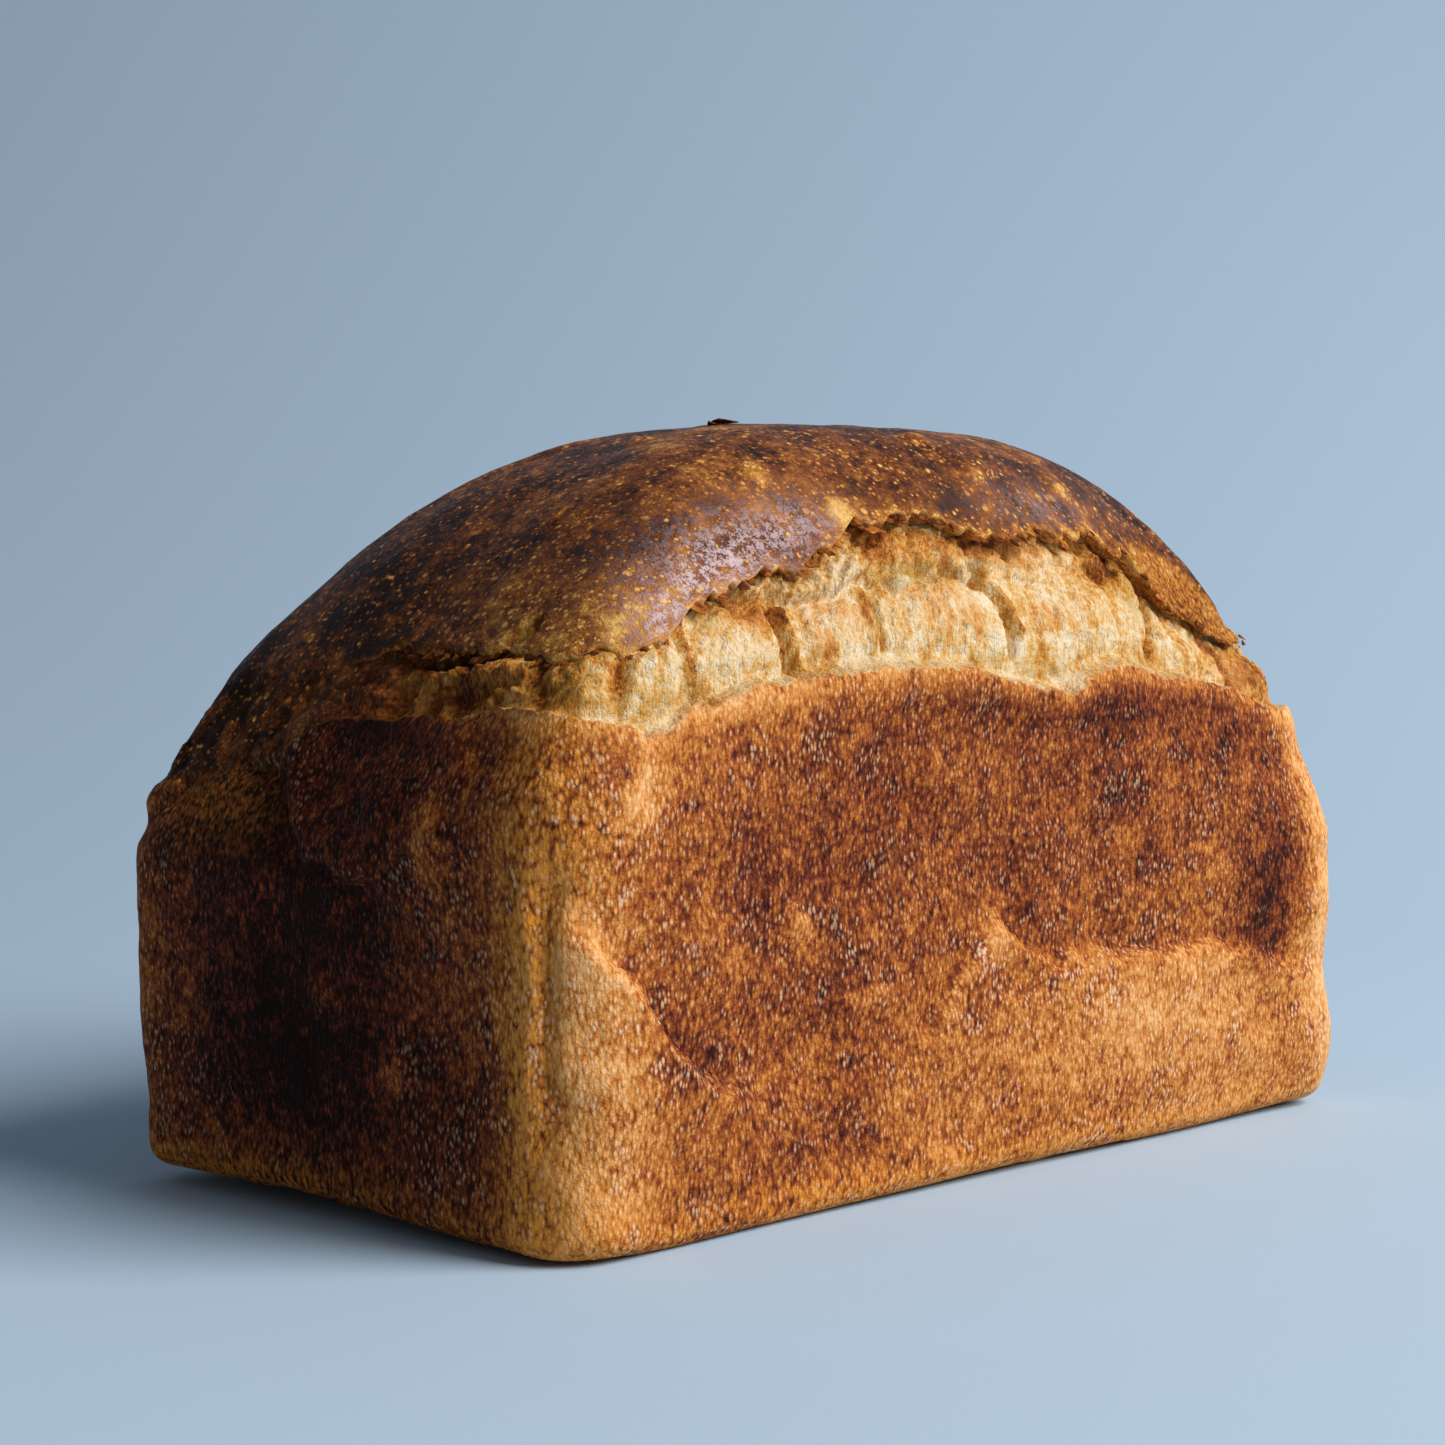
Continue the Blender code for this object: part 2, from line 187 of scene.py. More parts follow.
# The tear: how open it is, where the side crust stops, and where the dome's crust starts again.
TEAR = [
    (left_end(25), 0), (left_end(-5), 0.6), (left_end(-25), 1), (front(0), 1), (right_end(-30), 1),
    (right_end(10), 0.5), (right_end(40), 0), (back(70), 0), (back(25), 0.45), (back(-30), 0.3),
    (back(-70), 0),
]
CRUST_EDGE = in_metres([
    (left_end(45), 68), (left_end(23), 75), (left_end(7), 83), (left_end(-30), 84), (left_end(-45), 85),
    (front(-100), 84), (front(-90), 82), (front(-79), 86.5), (front(-65), 89), (front(-45), 91),
    (front(-16), 91.5), (front(0), 89), (front(16), 86), (front(35), 90), (front(60), 87.5),
    (front(80), 85), (front(92), 81.5), (FRONT_RIGHT, 80.5), (right_end(0), 78), (BACK_RIGHT, 72),
    (back(40), 84), (back(0), 86), (back(-40), 83), (BACK_LEFT, 64),
])
LIP = in_metres([
    (left_end(45), 76), (left_end(28), 80), (left_end(16), 92), (left_end(-5), 95.5),
    (left_end(-45), 94.5), (front(-98), 95.5), (front(-85), 102.5), (front(-74), 107), (front(-60), 109),
    (front(-40), 116.5), (front(-20), 118), (front(0), 116), (front(45), 115.5), (front(60), 112),
    (front(72), 101), (front(88), 96), (FRONT_RIGHT, 95), (right_end(0), 92), (BACK_RIGHT, 82),
    (back(40), 94), (back(0), 98), (back(-40), 92), (BACK_LEFT, 72),
])

# Swellings and hollows of the walls: place, height, how wide, how tall, how far out.
WALL_SWELLINGS = in_metres([
    (FRONT_RIGHT, 13, 18, 12, 3.2), (front(45), 20, 42, 15, 1.8), (front(-92), 24, 16, 22, 1.6),
    (front(-15), 58, 55, 28, -2.2), (front(-60), 30, 16, 18, -1.8), (left_end(-14), 72, 22, 12, 3.2),
    (left_end(0), 40, 36, 20, -2), (right_end(0), 42, 36, 24, -1.8), (back(30), 44, 60, 24, -2),
    (back(-70), 22, 30, 16, 1.5),
])

# Where the lower edge lifts off the table, and how far.
EDGE_LIFT = in_metres([
    (front(-80), 0), (front(-30), 0.5), (front(10), 0.9), (front(60), 0.3), (FRONT_RIGHT, 1.2),
    (right_end(0), 1.5), (back(60), 0.3), (back(-40), 1), (BACK_LEFT, 3), (left_end(10), 3.3),
    (left_end(-35), 1.3), (FRONT_LEFT, 0.7),
])


def wall_surface(place, height):
    """Points of the walls, before the tear."""
    plan, outward = wall_plan(place)
    out = round_walls(place, FLARE) * smooth_step(height, 0, FLARE_HEIGHT)
    out = out + swellings(WALL_SWELLINGS, place, height)
    lift = round_walls(place, EDGE_LIFT)
    below = np.clip((EDGE_RADIUS + lift - height) / EDGE_RADIUS, 0, 1)
    out = out - EDGE_RADIUS * (1 - np.sqrt(1 - below ** 2))
    points = plan + out[..., None] * outward
    return np.concatenate([points, height[..., None]], -1)


def dome_surface(place, rise):
    """Points of the dome, before the tear; rise is 0 at the shoulder and 1 at the peak."""
    plan, outward = wall_plan(place)
    inward = np.cos(np.clip(rise, 0, 1) * np.pi / 2)
    shoulder = round_walls(place, SHOULDER)
    height = shoulder + (PEAK_HEIGHT - shoulder) * (1 - inward ** DOME_FLATNESS) ** (1 / DOME_FULLNESS)
    half = np.array([LENGTH, WIDTH]) / 2
    oval = plan / half
    oval = oval / (np.abs(oval) ** LEVEL_LINE_POWER).sum(-1, keepdims=True) ** (1 / LEVEL_LINE_POWER) * half
    square = inward[..., None]
    keep = square ** CORNER_FADE
    points = square * ((1 - keep) * oval + keep * plan)
    points[..., 0] += PEAK_SHIFT * (1 - inward ** 2)
    out = round_walls(place, FLARE)
    out = out + swellings(WALL_SWELLINGS, place, height)
    points = points + (out * inward ** 4)[..., None] * outward
    return np.concatenate([points, height[..., None]], -1)


def rise_at(place, height):
    """How far up the dome a height is; below the shoulder it is the wall, counted as less than 0."""
    shoulder = round_walls(place, SHOULDER)
    share = np.clip((height - shoulder) / (PEAK_HEIGHT - shoulder), 0, 1)
    inward = (1 - share ** DOME_FULLNESS) ** (1 / DOME_FLATNESS)
    return np.where(height < shoulder, height / shoulder - 1, np.arccos(inward) * 2 / np.pi)


def whole_surface(place, rise):
    """Points of the loaf before the tear: the wall for a rise below 0, and the dome above it."""
    on_wall = wall_surface(place, round_walls(place, SHOULDER) * (1 + np.minimum(rise, 0)))
    on_dome = dome_surface(place, rise)
    return np.where((rise < 0)[..., None], on_wall, on_dome)


# The points that show which way the surface faces: how far up and down they lie, and the highest.
SLOPE_STEP = 0.004
NEAR_PEAK = 0.999


def outward_at(place, rise):
    """The direction straight out of the untorn loaf."""
    across = whole_surface(place + 1 * MM, rise) - whole_surface(place - 1 * MM, rise)
    upper = whole_surface(place, np.minimum(rise + SLOPE_STEP, NEAR_PEAK))
    straight = np.cross(across, upper - whole_surface(place, rise - SLOPE_STEP))
    return straight / np.linalg.norm(straight, axis=-1, keepdims=True)


# The tear: as the dome lifted it tore off the front wall, and the crumb was drawn out into soft pillows
# with deep creases between them. Above them hangs a ledge of shredded crumb, and the dome's crust ends
# over it in a thin ragged lip. These lines say where the parts of the tear lie.
OVERHANG = in_metres([
    (left_end(0), 2), (left_end(-14), 6), (left_end(-28), 4.5), (front(-100), 3.5), (front(-85), 3),
    (front(-72), 1.2), (front(-20), 1.2), (front(50), 1.6), (front(64), 3), (FRONT_RIGHT, 5),
    (right_end(0), 3), (back(0), 2),
])
LEDGE_LINE = in_metres([
    (left_end(0), 84), (left_end(-40), 88), (front(-100), 93), (front(-86), 98), (front(-78), 102.5),
    (front(-61), 105.5), (front(-50), 105.5), (front(-36), 108), (front(-10), 108.5), (front(4), 108.5),
    (front(42), 109), (front(58), 106), (front(66), 98), (FRONT_RIGHT, 93), (right_end(0), 89),
    (BACK_RIGHT, 80), (back(0), 95), (BACK_LEFT, 70),
])
LEDGE = [
    (left_end(-20), 0), (front(-88), 0.1), (front(-78), 1), (front(-2), 1), (front(8), 0.35),
    (front(52), 0.6), (front(62), 0),
]
FLANK_TOP = in_metres([
    (front(58), 100), (front(68), 114), (front(86), 113), (front(99), 107.5), (FRONT_RIGHT, 103),
    (right_end(-38), 98), (right_end(-30), 92), (left_end(0), 90),
])

# Random unevenness. A lump is about as wide as the size it is asked for.
HASH_STEPS = np.array([73856093, 19349663, 83492791])


def lumps(points, size, seed):
    """Smooth random heights from -1 to 1 at each point."""
    grid = points / np.broadcast_to(size, 3)
    cell = np.floor(grid).astype(np.int64)
    share = grid - cell
    share = share * share * (3 - 2 * share)
    total = np.zeros(grid.shape[:-1])
    for step in itertools.product((0, 1), repeat=3):
        key = (cell + step) @ HASH_STEPS + seed * 7919
        key = (key ^ (key >> 15)) * 2246822519 & 0xFFFFFFFF
        key = (key ^ (key >> 13)) * 3266489917 & 0xFFFFFFFF
        total += ((key ^ (key >> 16)) / 2 ** 31 - 1) * np.where(step, share, 1 - share).prod(-1)
    return total


def unrolled(place, height):
    """Points on the walls laid out flat, for unevenness that runs up or along them."""
    along = np.mod(place + ROUND_TRIP / 2, ROUND_TRIP) + np.zeros(height.shape)
    return np.stack([along, height, np.zeros(height.shape)], -1)


def near_line(place, height, path):
    """How far each point is from a line drawn on the walls, and how far to the line's left."""
    nearest = np.full(height.shape, np.inf)
    left_of = np.zeros(height.shape)
    for (at, up), (next_at, next_up) in zip(path, path[1:]):
        run = along_from(next_at, at)
        climb = next_up - up
        length = math.hypot(run, climb)
        across = along_from(place, at)
        above = height - up
        share = np.clip((across * run + above * climb) / length ** 2, 0, 1)
        gap = np.hypot(across - share * run, above - share * climb)
        closer = gap < nearest
        nearest = np.where(closer, gap, nearest)
        left_of = np.where(closer, (run * above - climb * across) / length, left_of)
    return nearest, left_of


def lines_out(table, place, height):
    """How far a table's creases and raised lines move the loaf's skin in or out."""
    out = 0
    for path, wide, far in table:
        gap, _ = near_line(place, height, path)
        out = out + far * np.exp(-((gap / wide) ** 2))
    return out


def ragged(line, size, far, seed):
    """A line of stations made uneven by small teeth."""
    def height(place):
        flat = unrolled(place, np.zeros(np.shape(place)))
        teeth = lumps(flat, size, seed) + 0.6 * lumps(flat, size * 0.4, seed + 1)
        return round_walls(place, line) + far * round_walls(place, TEAR) * teeth
    return height


crust_edge = ragged(CRUST_EDGE, 4 * MM, 0.7 * MM, 1)
lip_line = ragged(LIP, 4.5 * MM, 1.3 * MM, 3)
ledge_line = ragged(LEDGE_LINE, 9 * MM, 2.2 * MM, 5)

# Creases and raised strands of the torn crumb: the line they follow, how wide they are, and how far
# they stand out, or go in where that is below 0.
CRUMB_LINES = in_metres([
    ([(front(-86), 96), (front(-82), 91.5), (front(-77), 87)], 0.7, -1.4),
    ([(front(-91), 103), (front(-87.5), 96), (front(-80), 88)], 0.9, 1.5),
    ([(front(-63), 103), (front(-59), 97), (front(-56), 91)], 0.7, -1.4),
    ([(front(-60.5), 103), (front(-56.5), 97), (front(-53.5), 91)], 1, 1.1),
    ([(front(-35.5), 106), (front(-33), 101), (front(-31), 95.5)], 0.7, -1.4),
    ([(front(-37.5), 106), (front(-36), 101), (front(-34), 95.5)], 1, 0.9),
    ([(front(-4), 110), (front(2), 104), (front(4.5), 99), (front(5.5), 93.5)], 0.7, -1.4),
    ([(front(-1.5), 111), (front(4.5), 104), (front(7), 98)], 1.2, 1.5),
    ([(front(66), 108), (front(60), 99), (front(54), 94)], 1.6, -3),
    ([(left_end(-43), 92), (left_end(-45), 88)], 1.8, -0.8),
    ([(front(-102), 93), (front(-100), 88)], 1.4, -1),
    ([(front(88), 94), (front(86), 85)], 1.5, -1.6),
    ([(right_end(-44), 93), (right_end(-46), 83)], 1.6, -2.4),
    ([(right_end(-20), 90), (right_end(-24), 81)], 1.6, -2),
    ([(right_end(4), 89), (right_end(0), 81)], 1.6, -1.6),
    ([(back(30), 94), (back(26), 86)], 1.6, -1.6),
    ([(back(-5), 96), (back(-8), 88)], 1.6, -1.6),
])

# Hollows and lumps of the torn crumb: place, height, how wide, how tall, and how far out.
CRUMB_SWELLINGS = in_metres([
    (left_end(-13), 94.8, 9.5, 2.5, -7), (left_end(-6.5), 87, 3, 3, -4.5),
    (left_end(-22), 91.5, 15, 1.6, 2.6), (left_end(-38), 89, 8, 4, 1.6), (front(-108), 89.5, 4, 4, 1.8),
    (front(-93), 90, 7, 5, 1.4), (front(-70), 95, 7, 6, 1.6), (front(-45), 98, 8, 6, 1.6),
    (front(-15), 101, 14, 6, 1.8), (front(34), 101, 18, 7, 2.2), (front(-97), 94.5, 14, 2.6, 1.8),
    (left_end(-40), 93, 10, 2.4, 1.6), (left_end(4), 88, 3.5, 1.2, 1.8), (left_end(-2), 84, 2.6, 1, 1.4),
    (front(-19), 109.8, 13, 1.3, -2.6), (front(11), 113.3, 2, 1.5, -3.5),
    (front(42), 114.2, 2.4, 1.4, -3.5), (front(-74), 105, 4, 1, -2), (front(96), 97, 4, 1.6, -4),
    (front(46), 108.5, 7, 1.6, -1.6), (front(71), 93, 7, 5, 1.2), (front(98), 88, 7, 4, 1.8),
])

# How the crumb lies under the untorn loaf, where its top is shredded, and the sizes of its pillows and of
# the ledge: the hollow under it and how it swells above that.
SET_BACK = in_metres([
    (left_end(0), 1), (left_end(-40), 1.3), (front(-88), 1.6), (front(-66), 2.8), (front(60), 2.8),
    (FRONT_RIGHT, 2), (back(0), 1.6),
])
SHREDDED = [
    (left_end(0), 1.3), (left_end(-40), 1.1), (front(-106), 0.3), (front(-88), 0.4), (front(-76), 1),
    (front(0), 1), (front(12), 0.6), (front(60), 0.6), (right_end(0), 1), (back(0), 1),
]
SET_BACK_REACH = 0.16
PILLOW_SWELL = 1 * MM
LEAST_PILLOW = 6 * MM
LEDGE_HOLLOW = 1.5 * MM
LEDGE_HOLLOW_HEIGHT = 1.1 * MM
LEDGE_SWELL = 1.6 * MM
LEDGE_SWELL_UP = 2.4 * MM
LEDGE_SWELL_HEIGHT = 1.7 * MM
RECESS = 0.9 * MM


def crumb_folds(flat):
    """Upright folds of the drawn-out crumb: 1 along their crests, and -1 or so between them."""
    bent = flat + 2 * MM * lumps(flat, 5 * MM, 20)[..., None]
    wide_folds = np.abs(lumps(bent, (3.6 * MM, 10 * MM, 1), 17))
    narrow_folds = np.abs(lumps(bent, (1.4 * MM, 5 * MM, 1), 24))
    return 1 - 2 * wide_folds - 0.5 * narrow_folds


def crumb_out(place, height, share):
    """How far the torn crumb stands out of the untorn loaf: mostly less than 0, as it lies under it."""
    flat = unrolled(place, height)
    strength = round_walls(place, LEDGE)
    above_ledge = height - ledge_line(place) + 0.8 * MM * lumps(flat, 2.5 * MM, 11)
    tall = np.maximum(ledge_line(place) - crust_edge(place), LEAST_PILLOW)
    pillow = np.clip(1 + above_ledge / tall, 0, 1)
    out = -round_walls(place, SET_BACK) * smooth_step(share, 0, SET_BACK_REACH)
    out = out + PILLOW_SWELL * np.sin(np.pi * pillow) ** 2
    out = out - LEDGE_HOLLOW * strength * np.exp(-((above_ledge / LEDGE_HOLLOW_HEIGHT) ** 2))
    above_hollow = (above_ledge - LEDGE_SWELL_UP) / LEDGE_SWELL_HEIGHT
    out = out + LEDGE_SWELL * strength * np.exp(-(above_hollow ** 2))
    out = out + lines_out(CRUMB_LINES, place, height)
    out = out + swellings(CRUMB_SWELLINGS, place, height)
    shreds = smooth_step(above_ledge, -0.5 * MM, 1.5 * MM) * round_walls(place, SHREDDED)
    out = out - RECESS * shreds * smooth_step(share, 0.75, 1)
    fold = 1 - 2 * np.abs(lumps(flat + flat[..., ::-1] * 0.5, (2.2 * MM, 3.2 * MM, 1), 13))
    out = out + shreds * (0.9 * MM * fold + 0.6 * MM * lumps(flat, 1.1 * MM, 14))
    fibres = lumps(flat, (0.9 * MM, 6 * MM, 1), 15) + 0.7 * lumps(flat, (1.7 * MM, 9 * MM, 1), 16)
    out = out + (1 - 0.6 * shreds) * (0.24 * MM * fibres + 0.24 * MM * crumb_folds(flat))
    return out + 0.36 * MM * lumps(flat, 2 * MM, 19) + 0.26 * MM * lumps(flat, 0.9 * MM, 18)


# Creases, steps and folds of the walls' crust. A step stands proud on the line's left and sinks on its
# right: its line, how sharp it is, how far away it fades out, and how high it is.
WALL_LINES = in_metres([
    ([(front(-99), 49), (front(-92), 44), (front(-84), 34), (front(-73), 26)], 1.4, -1.3),
    ([(FRONT_LEFT - 3 * MM, 58), (FRONT_LEFT - 2 * MM, 20)], 1.2, -1.3),
    ([(FRONT_LEFT - 6 * MM, 62), (FRONT_LEFT - 6 * MM, 16)], 1.6, 0.6),
    ([(left_end(-47), 99), (left_end(-42), 97), (left_end(-38), 94)], 0.8, -1),
    ([(front(-20), 66), (front(5), 55)], 5, -0.7),
    ([(front(86), 27), (front(96), 34), (front(98), 44)], 3, 0.6),
    ([(back(-96), 60), (back(-80), 34), (back(-62), 22)], 2, -0.8),
    ([(back(20), 70), (back(60), 60)], 5, -0.8),
    ([(right_end(-30), 60), (right_end(-10), 40), (right_end(16), 36)], 2.4, -0.8),
    ([(BACK_RIGHT, 60), (BACK_RIGHT, 16)], 1, -0.8),
    ([(BACK_LEFT, 52), (BACK_LEFT, 14)], 1, -0.7),
])
WALL_STEPS = in_metres([
    ([(front(-72), 26), (front(-84), 34), (front(-92), 44), (front(-99), 49)], 1.3, 9, 1.5),
    ([(front(92), 30), (front(80), 34), (front(58), 37), (front(38), 37), (front(14), 38),
      (front(0), 46), (front(-6), 42), (front(-16), 30)], 1.2, 7, 1.1),
    ([(left_end(22), 80), (left_end(17), 77), (left_end(12), 69), (left_end(5), 62),
      (left_end(-9), 58.5)], 1, 7, 1.6),
    ([(left_end(24), 77), (left_end(34), 78), (left_end(45), 73), (left_end(54), 66)], 1, 6, -1.6),
    ([(back(70), 30), (back(30), 38), (back(-10), 33)], 2, 8, 0.8),
])

# Blisters, where gas lifted the crust off the tin, and dents: place, height, how wide, how tall, and how
# far out.
BLISTERS = in_metres([
    (front(-91), 72, 3.2, 4.4, 0.9), (front(-91), 73, 1.9, 2.6, -0.9), (front(-54), 50, 2.8, 2.4, 0.8),
    (front(-33), 36, 3, 2.2, 0.7), (front(-2), 44, 4.5, 4.5, 0.9), (front(-20), 26, 2, 3, 0.6),
    (front(10), 28, 6, 4, 0.5), (front(12), 20, 3, 2, 0.6), (front(-45), 5, 5, 4, 0.8),
    (front(72), 20, 5, 5, 0.6), (front(-22), 58, 2, 2, 0.5), (front(88), 64, 6, 9, -0.7),
    (left_end(2), 38, 3, 3.5, 0.8), (left_end(-17), 28, 4, 3, 0.8), (left_end(-26), 67, 2.5, 7, 0.8),
    (right_end(20), 24, 4, 3, 0.8), (right_end(-8), 62, 3, 4, 0.7), (back(64), 48, 3, 4, 0.8),
    (back(12), 22, 5, 3, 0.7), (back(-40), 56, 3, 3, 0.7), (FRONT_LEFT, 12, 5, 4, 0.7),
])


def wavering(place, height):
    """The places and heights shifted a little, so that a line drawn through them wavers."""
    flat = unrolled(place, height)
    return place + 1.6 * MM * lumps(flat, 5 * MM, 51), height + 1.8 * MM * lumps(flat, 4.5 * MM, 52)


def crust_out(points, place, height):
    """The unevenness of the crust: its creases, steps and blisters, and the waviness all over it."""
    flat = unrolled(place, height)
    out = 0.6 * MM * lumps(points, 14 * MM, 21) + 0.34 * MM * lumps(points, 5 * MM, 22)
    out = out + 0.1 * MM * lumps(flat, (1.6 * MM, 3 * MM, 1), 23)
    shifted = wavering(place, height)
    out = out + lines_out(WALL_LINES, *shifted)
    for path, soft, fade, far in WALL_STEPS:
        gap, left_of = near_line(*shifted, path)
        out = out + far * np.tanh(left_of / soft) * np.exp(-((gap / fade) ** 2))
    out = out + swellings(BLISTERS, place, height)
    return out


# The dome's crust: the crack that runs up from the hole, a fold near the back, round blisters of thin
# crust, and the torn flank on the right where the lip hangs down. A blister has a place, a height, a radius
# and how far it rises.
DOME_LINES = in_metres([
    ([(left_end(-28), 94), (left_end(-32), 97), (left_end(-36.5), 99.5)], 0.8, -2.6),
    ([(left_end(48), 119), (left_end(42), 124), (left_end(27), 131)], 2.5, 0.7),
])
DOME_BLISTERS = in_metres([
    (front(-83), 125.6, 3, 0.9), (front(-48), 119, 3.2, 1.1), (front(7), 126, 2.6, 0.8),
    (front(12), 127.5, 3, 0.9), (left_end(-9), 132, 2.6, 0.7), (front(-7), 133, 3, 0.7),
    (left_end(-20), 118, 2, 0.6), (front(-98), 112, 2, 0.6), (front(48), 124, 2.4, 0.7),
    (right_end(0), 118, 3, 0.8), (back(40), 120, 3, 0.8), (back(-30), 128, 2.4, 0.7),
])


def dome_blisters(points):
    """How far the dome's blisters lift the crust at each point, and their share: 1 in the middle of one."""
    out = np.zeros(points.shape[:-1])
    share = np.zeros(points.shape[:-1])
    for at, up, radius, far in DOME_BLISTERS:
        middle = whole_surface(np.array([at]), rise_at(np.array([at]), np.array([up])))[0]
        here = np.exp(-((np.linalg.norm(points - middle, axis=-1) / radius) ** 4))
        out += far * here
        share += here
    return out, share


def flank_share(place, height):
    """1 on the torn flank under the dome's crust, on the right."""
    flat = unrolled(place, height)
    below_top = round_walls(place, FLANK_TOP) - height + 2 * MM * lumps(flat, 4 * MM, 31)
    return smooth_step(below_top, -1 * MM, 1.5 * MM)


def dome_out(points, place, height):
    flat = unrolled(place, height)
    out = 0.5 * MM * lumps(points, 16 * MM, 32) + 0.25 * MM * lumps(points, 6 * MM, 33)
    out = out + 0.1 * MM * lumps(points, 2.4 * MM, 34)
    out = out + lines_out(DOME_LINES, place, height)
    out = out + dome_blisters(points)[0]
    streaks = lumps(flat + flat[..., ::-1], (1.2 * MM, 5 * MM, 1), 35) + 0.6 * lumps(flat, 1.3 * MM, 36)
    return out + flank_share(place, height) * MM * (0.55 * streaks - 0.8)


# The skin of the loaf is one mesh of level rows, with most columns in the tear and on the front. Each
# row says how many of the columns it uses. At each point it also keeps what the crust looks like there.
COLUMNS = {"front": 360, "right": 112, "back": 128, "left": 168}
UNDERSIDE_SHARES = (0.25, 0.5, 0.75, 0.9)
EDGE_ROWS = 6
WALL_ROWS = 64
FINE_WALL_ROWS = 5
FINE_WALL_FROM = 0.93
TEAR_ROWS = 46
FINE_DOME_ROWS = 9
MIDDLE_DOME_ROWS = 22
TOP_DOME_ROWS = 12
BASE_INSET = 6 * MM
INSET_PER_LIFT = 6
EDGE_ROLL = 1.2 * MM
ROLL_HEIGHT = 9 * MM
EDGE_WAVE = 0.7 * MM
EDGE_WAVE_LENGTH = 11 * MM
SMOOTH_EDGE = 6 * MM
LEAST_TEAR = 4 * MM
LIP_CURL = 0.6 * MM
LIP_UNDERSIDE = np.array([0.9, 0.7, 0.45, 0.2, 0.06, 0])
LIP_DEPTH = np.array([3.2, 2.6, 2.1, 1.7, 1.3, 0.5]) * MM
UNTORN_STEPS = np.array([0.01, 0.025, 0.04, 0.055, 0.07, 0.085])
FIRST_DOME_STEP = 0.1
FIRST_DOME_RISE = 0.004
DOME_ROW_SPREAD = 1.25

sides = []
for side, count in COLUMNS.items():
    sides.append(SIDE_START[side] + np.arange(count) * SIDE_LENGTH[side] / count)
place = np.concatenate(sides)[:, None]
openness = round_walls(place, TEAR)
edge = crust_edge(place)
lip = np.maximum(lip_line(place), edge + LEAST_TEAR)
low = rise_at(place, edge)
high = rise_at(place, lip)


def placed(rise, out, region):
    """Rows of the skin: its points moved out of the untorn loaf, with the facts that its looks need."""
    everywhere = np.broadcast_to(place, rise.shape)
    whole = whole_surface(everywhere, rise)
    height = whole[..., 2]
    moved = out(whole, everywhere, height) if callable(out) else out
    points = whole + moved[..., None] * outward_at(everywhere, rise)
    facts = {"height": height, "place": everywhere, "region": np.full(rise.shape, region, float)}
    return points, facts


lift = round_walls(place, EDGE_LIFT)
lift = np.maximum(lift + EDGE_WAVE * lumps(unrolled(place, 0 * place), EDGE_WAVE_LENGTH, 41), 0)
turned = lift + EDGE_RADIUS * (1 - np.cos(np.linspace(0, np.pi / 2, EDGE_ROWS + 1)))
wall_share = np.linspace(0, FINE_WALL_FROM, WALL_ROWS + 1)[1:]
fine_share = np.linspace(FINE_WALL_FROM, 1, FINE_WALL_ROWS + 1)[1:]
wall_share = np.concatenate([wall_share, fine_share])
upright = turned[:, -1:] + (edge - turned[:, -1:]) * wall_share
wall_height = np.concatenate([turned, upright], 1)
WALL, CRUMB, UNDER_LIP, DOME, UNDERSIDE = range(5)


def wall_out(points, at, height):
    roll = EDGE_ROLL * openness * smooth_step(height, edge - ROLL_HEIGHT, edge)
    return roll + crust_out(points, at, height) * smooth_step(height, lift, lift + SMOOTH_EDGE)


walls, wall_facts = placed(rise_at(place, wall_height), wall_out, WALL)

behind = openness * round_walls(place, OVERHANG) / (lip - edge)
crumb_share = np.linspace(0, 1, TEAR_ROWS + 1)[1:] * (1 + behind)


def torn_out(points, at, height):
    crumb = crumb_out(at, height, crumb_share) + EDGE_ROLL * (1 - smooth_step(crumb_share, 0, 0.1))
    whole = crust_out(points, at, height) * (1 - crumb_share) + dome_out(points, at, height) * crumb_share
    return openness * crumb + (1 - openness) * whole


crumb, crumb_facts = placed(low + (high - low) * crumb_share, torn_out, CRUMB)

under_share = 1 + behind * LIP_UNDERSIDE + (1 - openness) * UNTORN_STEPS


def under_out(points, at, height):
    return -openness * LIP_DEPTH + (1 - openness) * dome_out(points, at, height)


under, under_facts = placed(low + (high - low) * under_share, under_out, UNDER_LIP)

first = low + (high - low) * (1 + (1 - openness) * FIRST_DOME_STEP) + FIRST_DOME_RISE
dome_count = FINE_DOME_ROWS + MIDDLE_DOME_ROWS + TOP_DOME_ROWS
dome_share = (np.arange(dome_count) / dome_count) ** DOME_ROW_SPREAD


def top_out(points, at, height):
    curl = LIP_CURL * openness * np.exp(-np.arange(dome_count) / 2)
    return curl + dome_out(points, at, height)


dome, dome_facts = placed(first + (1 - first) * dome_share, top_out, DOME)

rim = walls[:, :1].copy()
inset = BASE_INSET - EDGE_RADIUS + INSET_PER_LIFT * lift
rim[..., :2] *= 1 - inset[..., None] / (np.array([LENGTH, WIDTH]) / 2)
rim[..., 2] = 0
base = rim * np.array(UNDERSIDE_SHARES + (1,))[None, :, None]
base_facts = {"height": np.zeros(base.shape[:2]), "place": np.broadcast_to(place, base.shape[:2]),
              "region": np.full(base.shape[:2], UNDERSIDE, float)}

blocks = [base, walls, crumb, under, dome]
points = np.concatenate(blocks, 1)
block_facts = [base_facts, wall_facts, crumb_facts, under_facts, dome_facts]
facts = {name: np.concatenate([one[name] for one in block_facts], 1) for name in base_facts}

# The columns that each row uses: every one, or every second, fourth or eighth.
row_step = [8, 4, 4, 2, 2]
row_step += [2] * (EDGE_ROWS + 1 + WALL_ROWS) + [1] * (FINE_WALL_ROWS + TEAR_ROWS + len(LIP_UNDERSIDE))
row_step += [1] * FINE_DOME_ROWS + [2] * MIDDLE_DOME_ROWS + [4] * TOP_DOME_ROWS


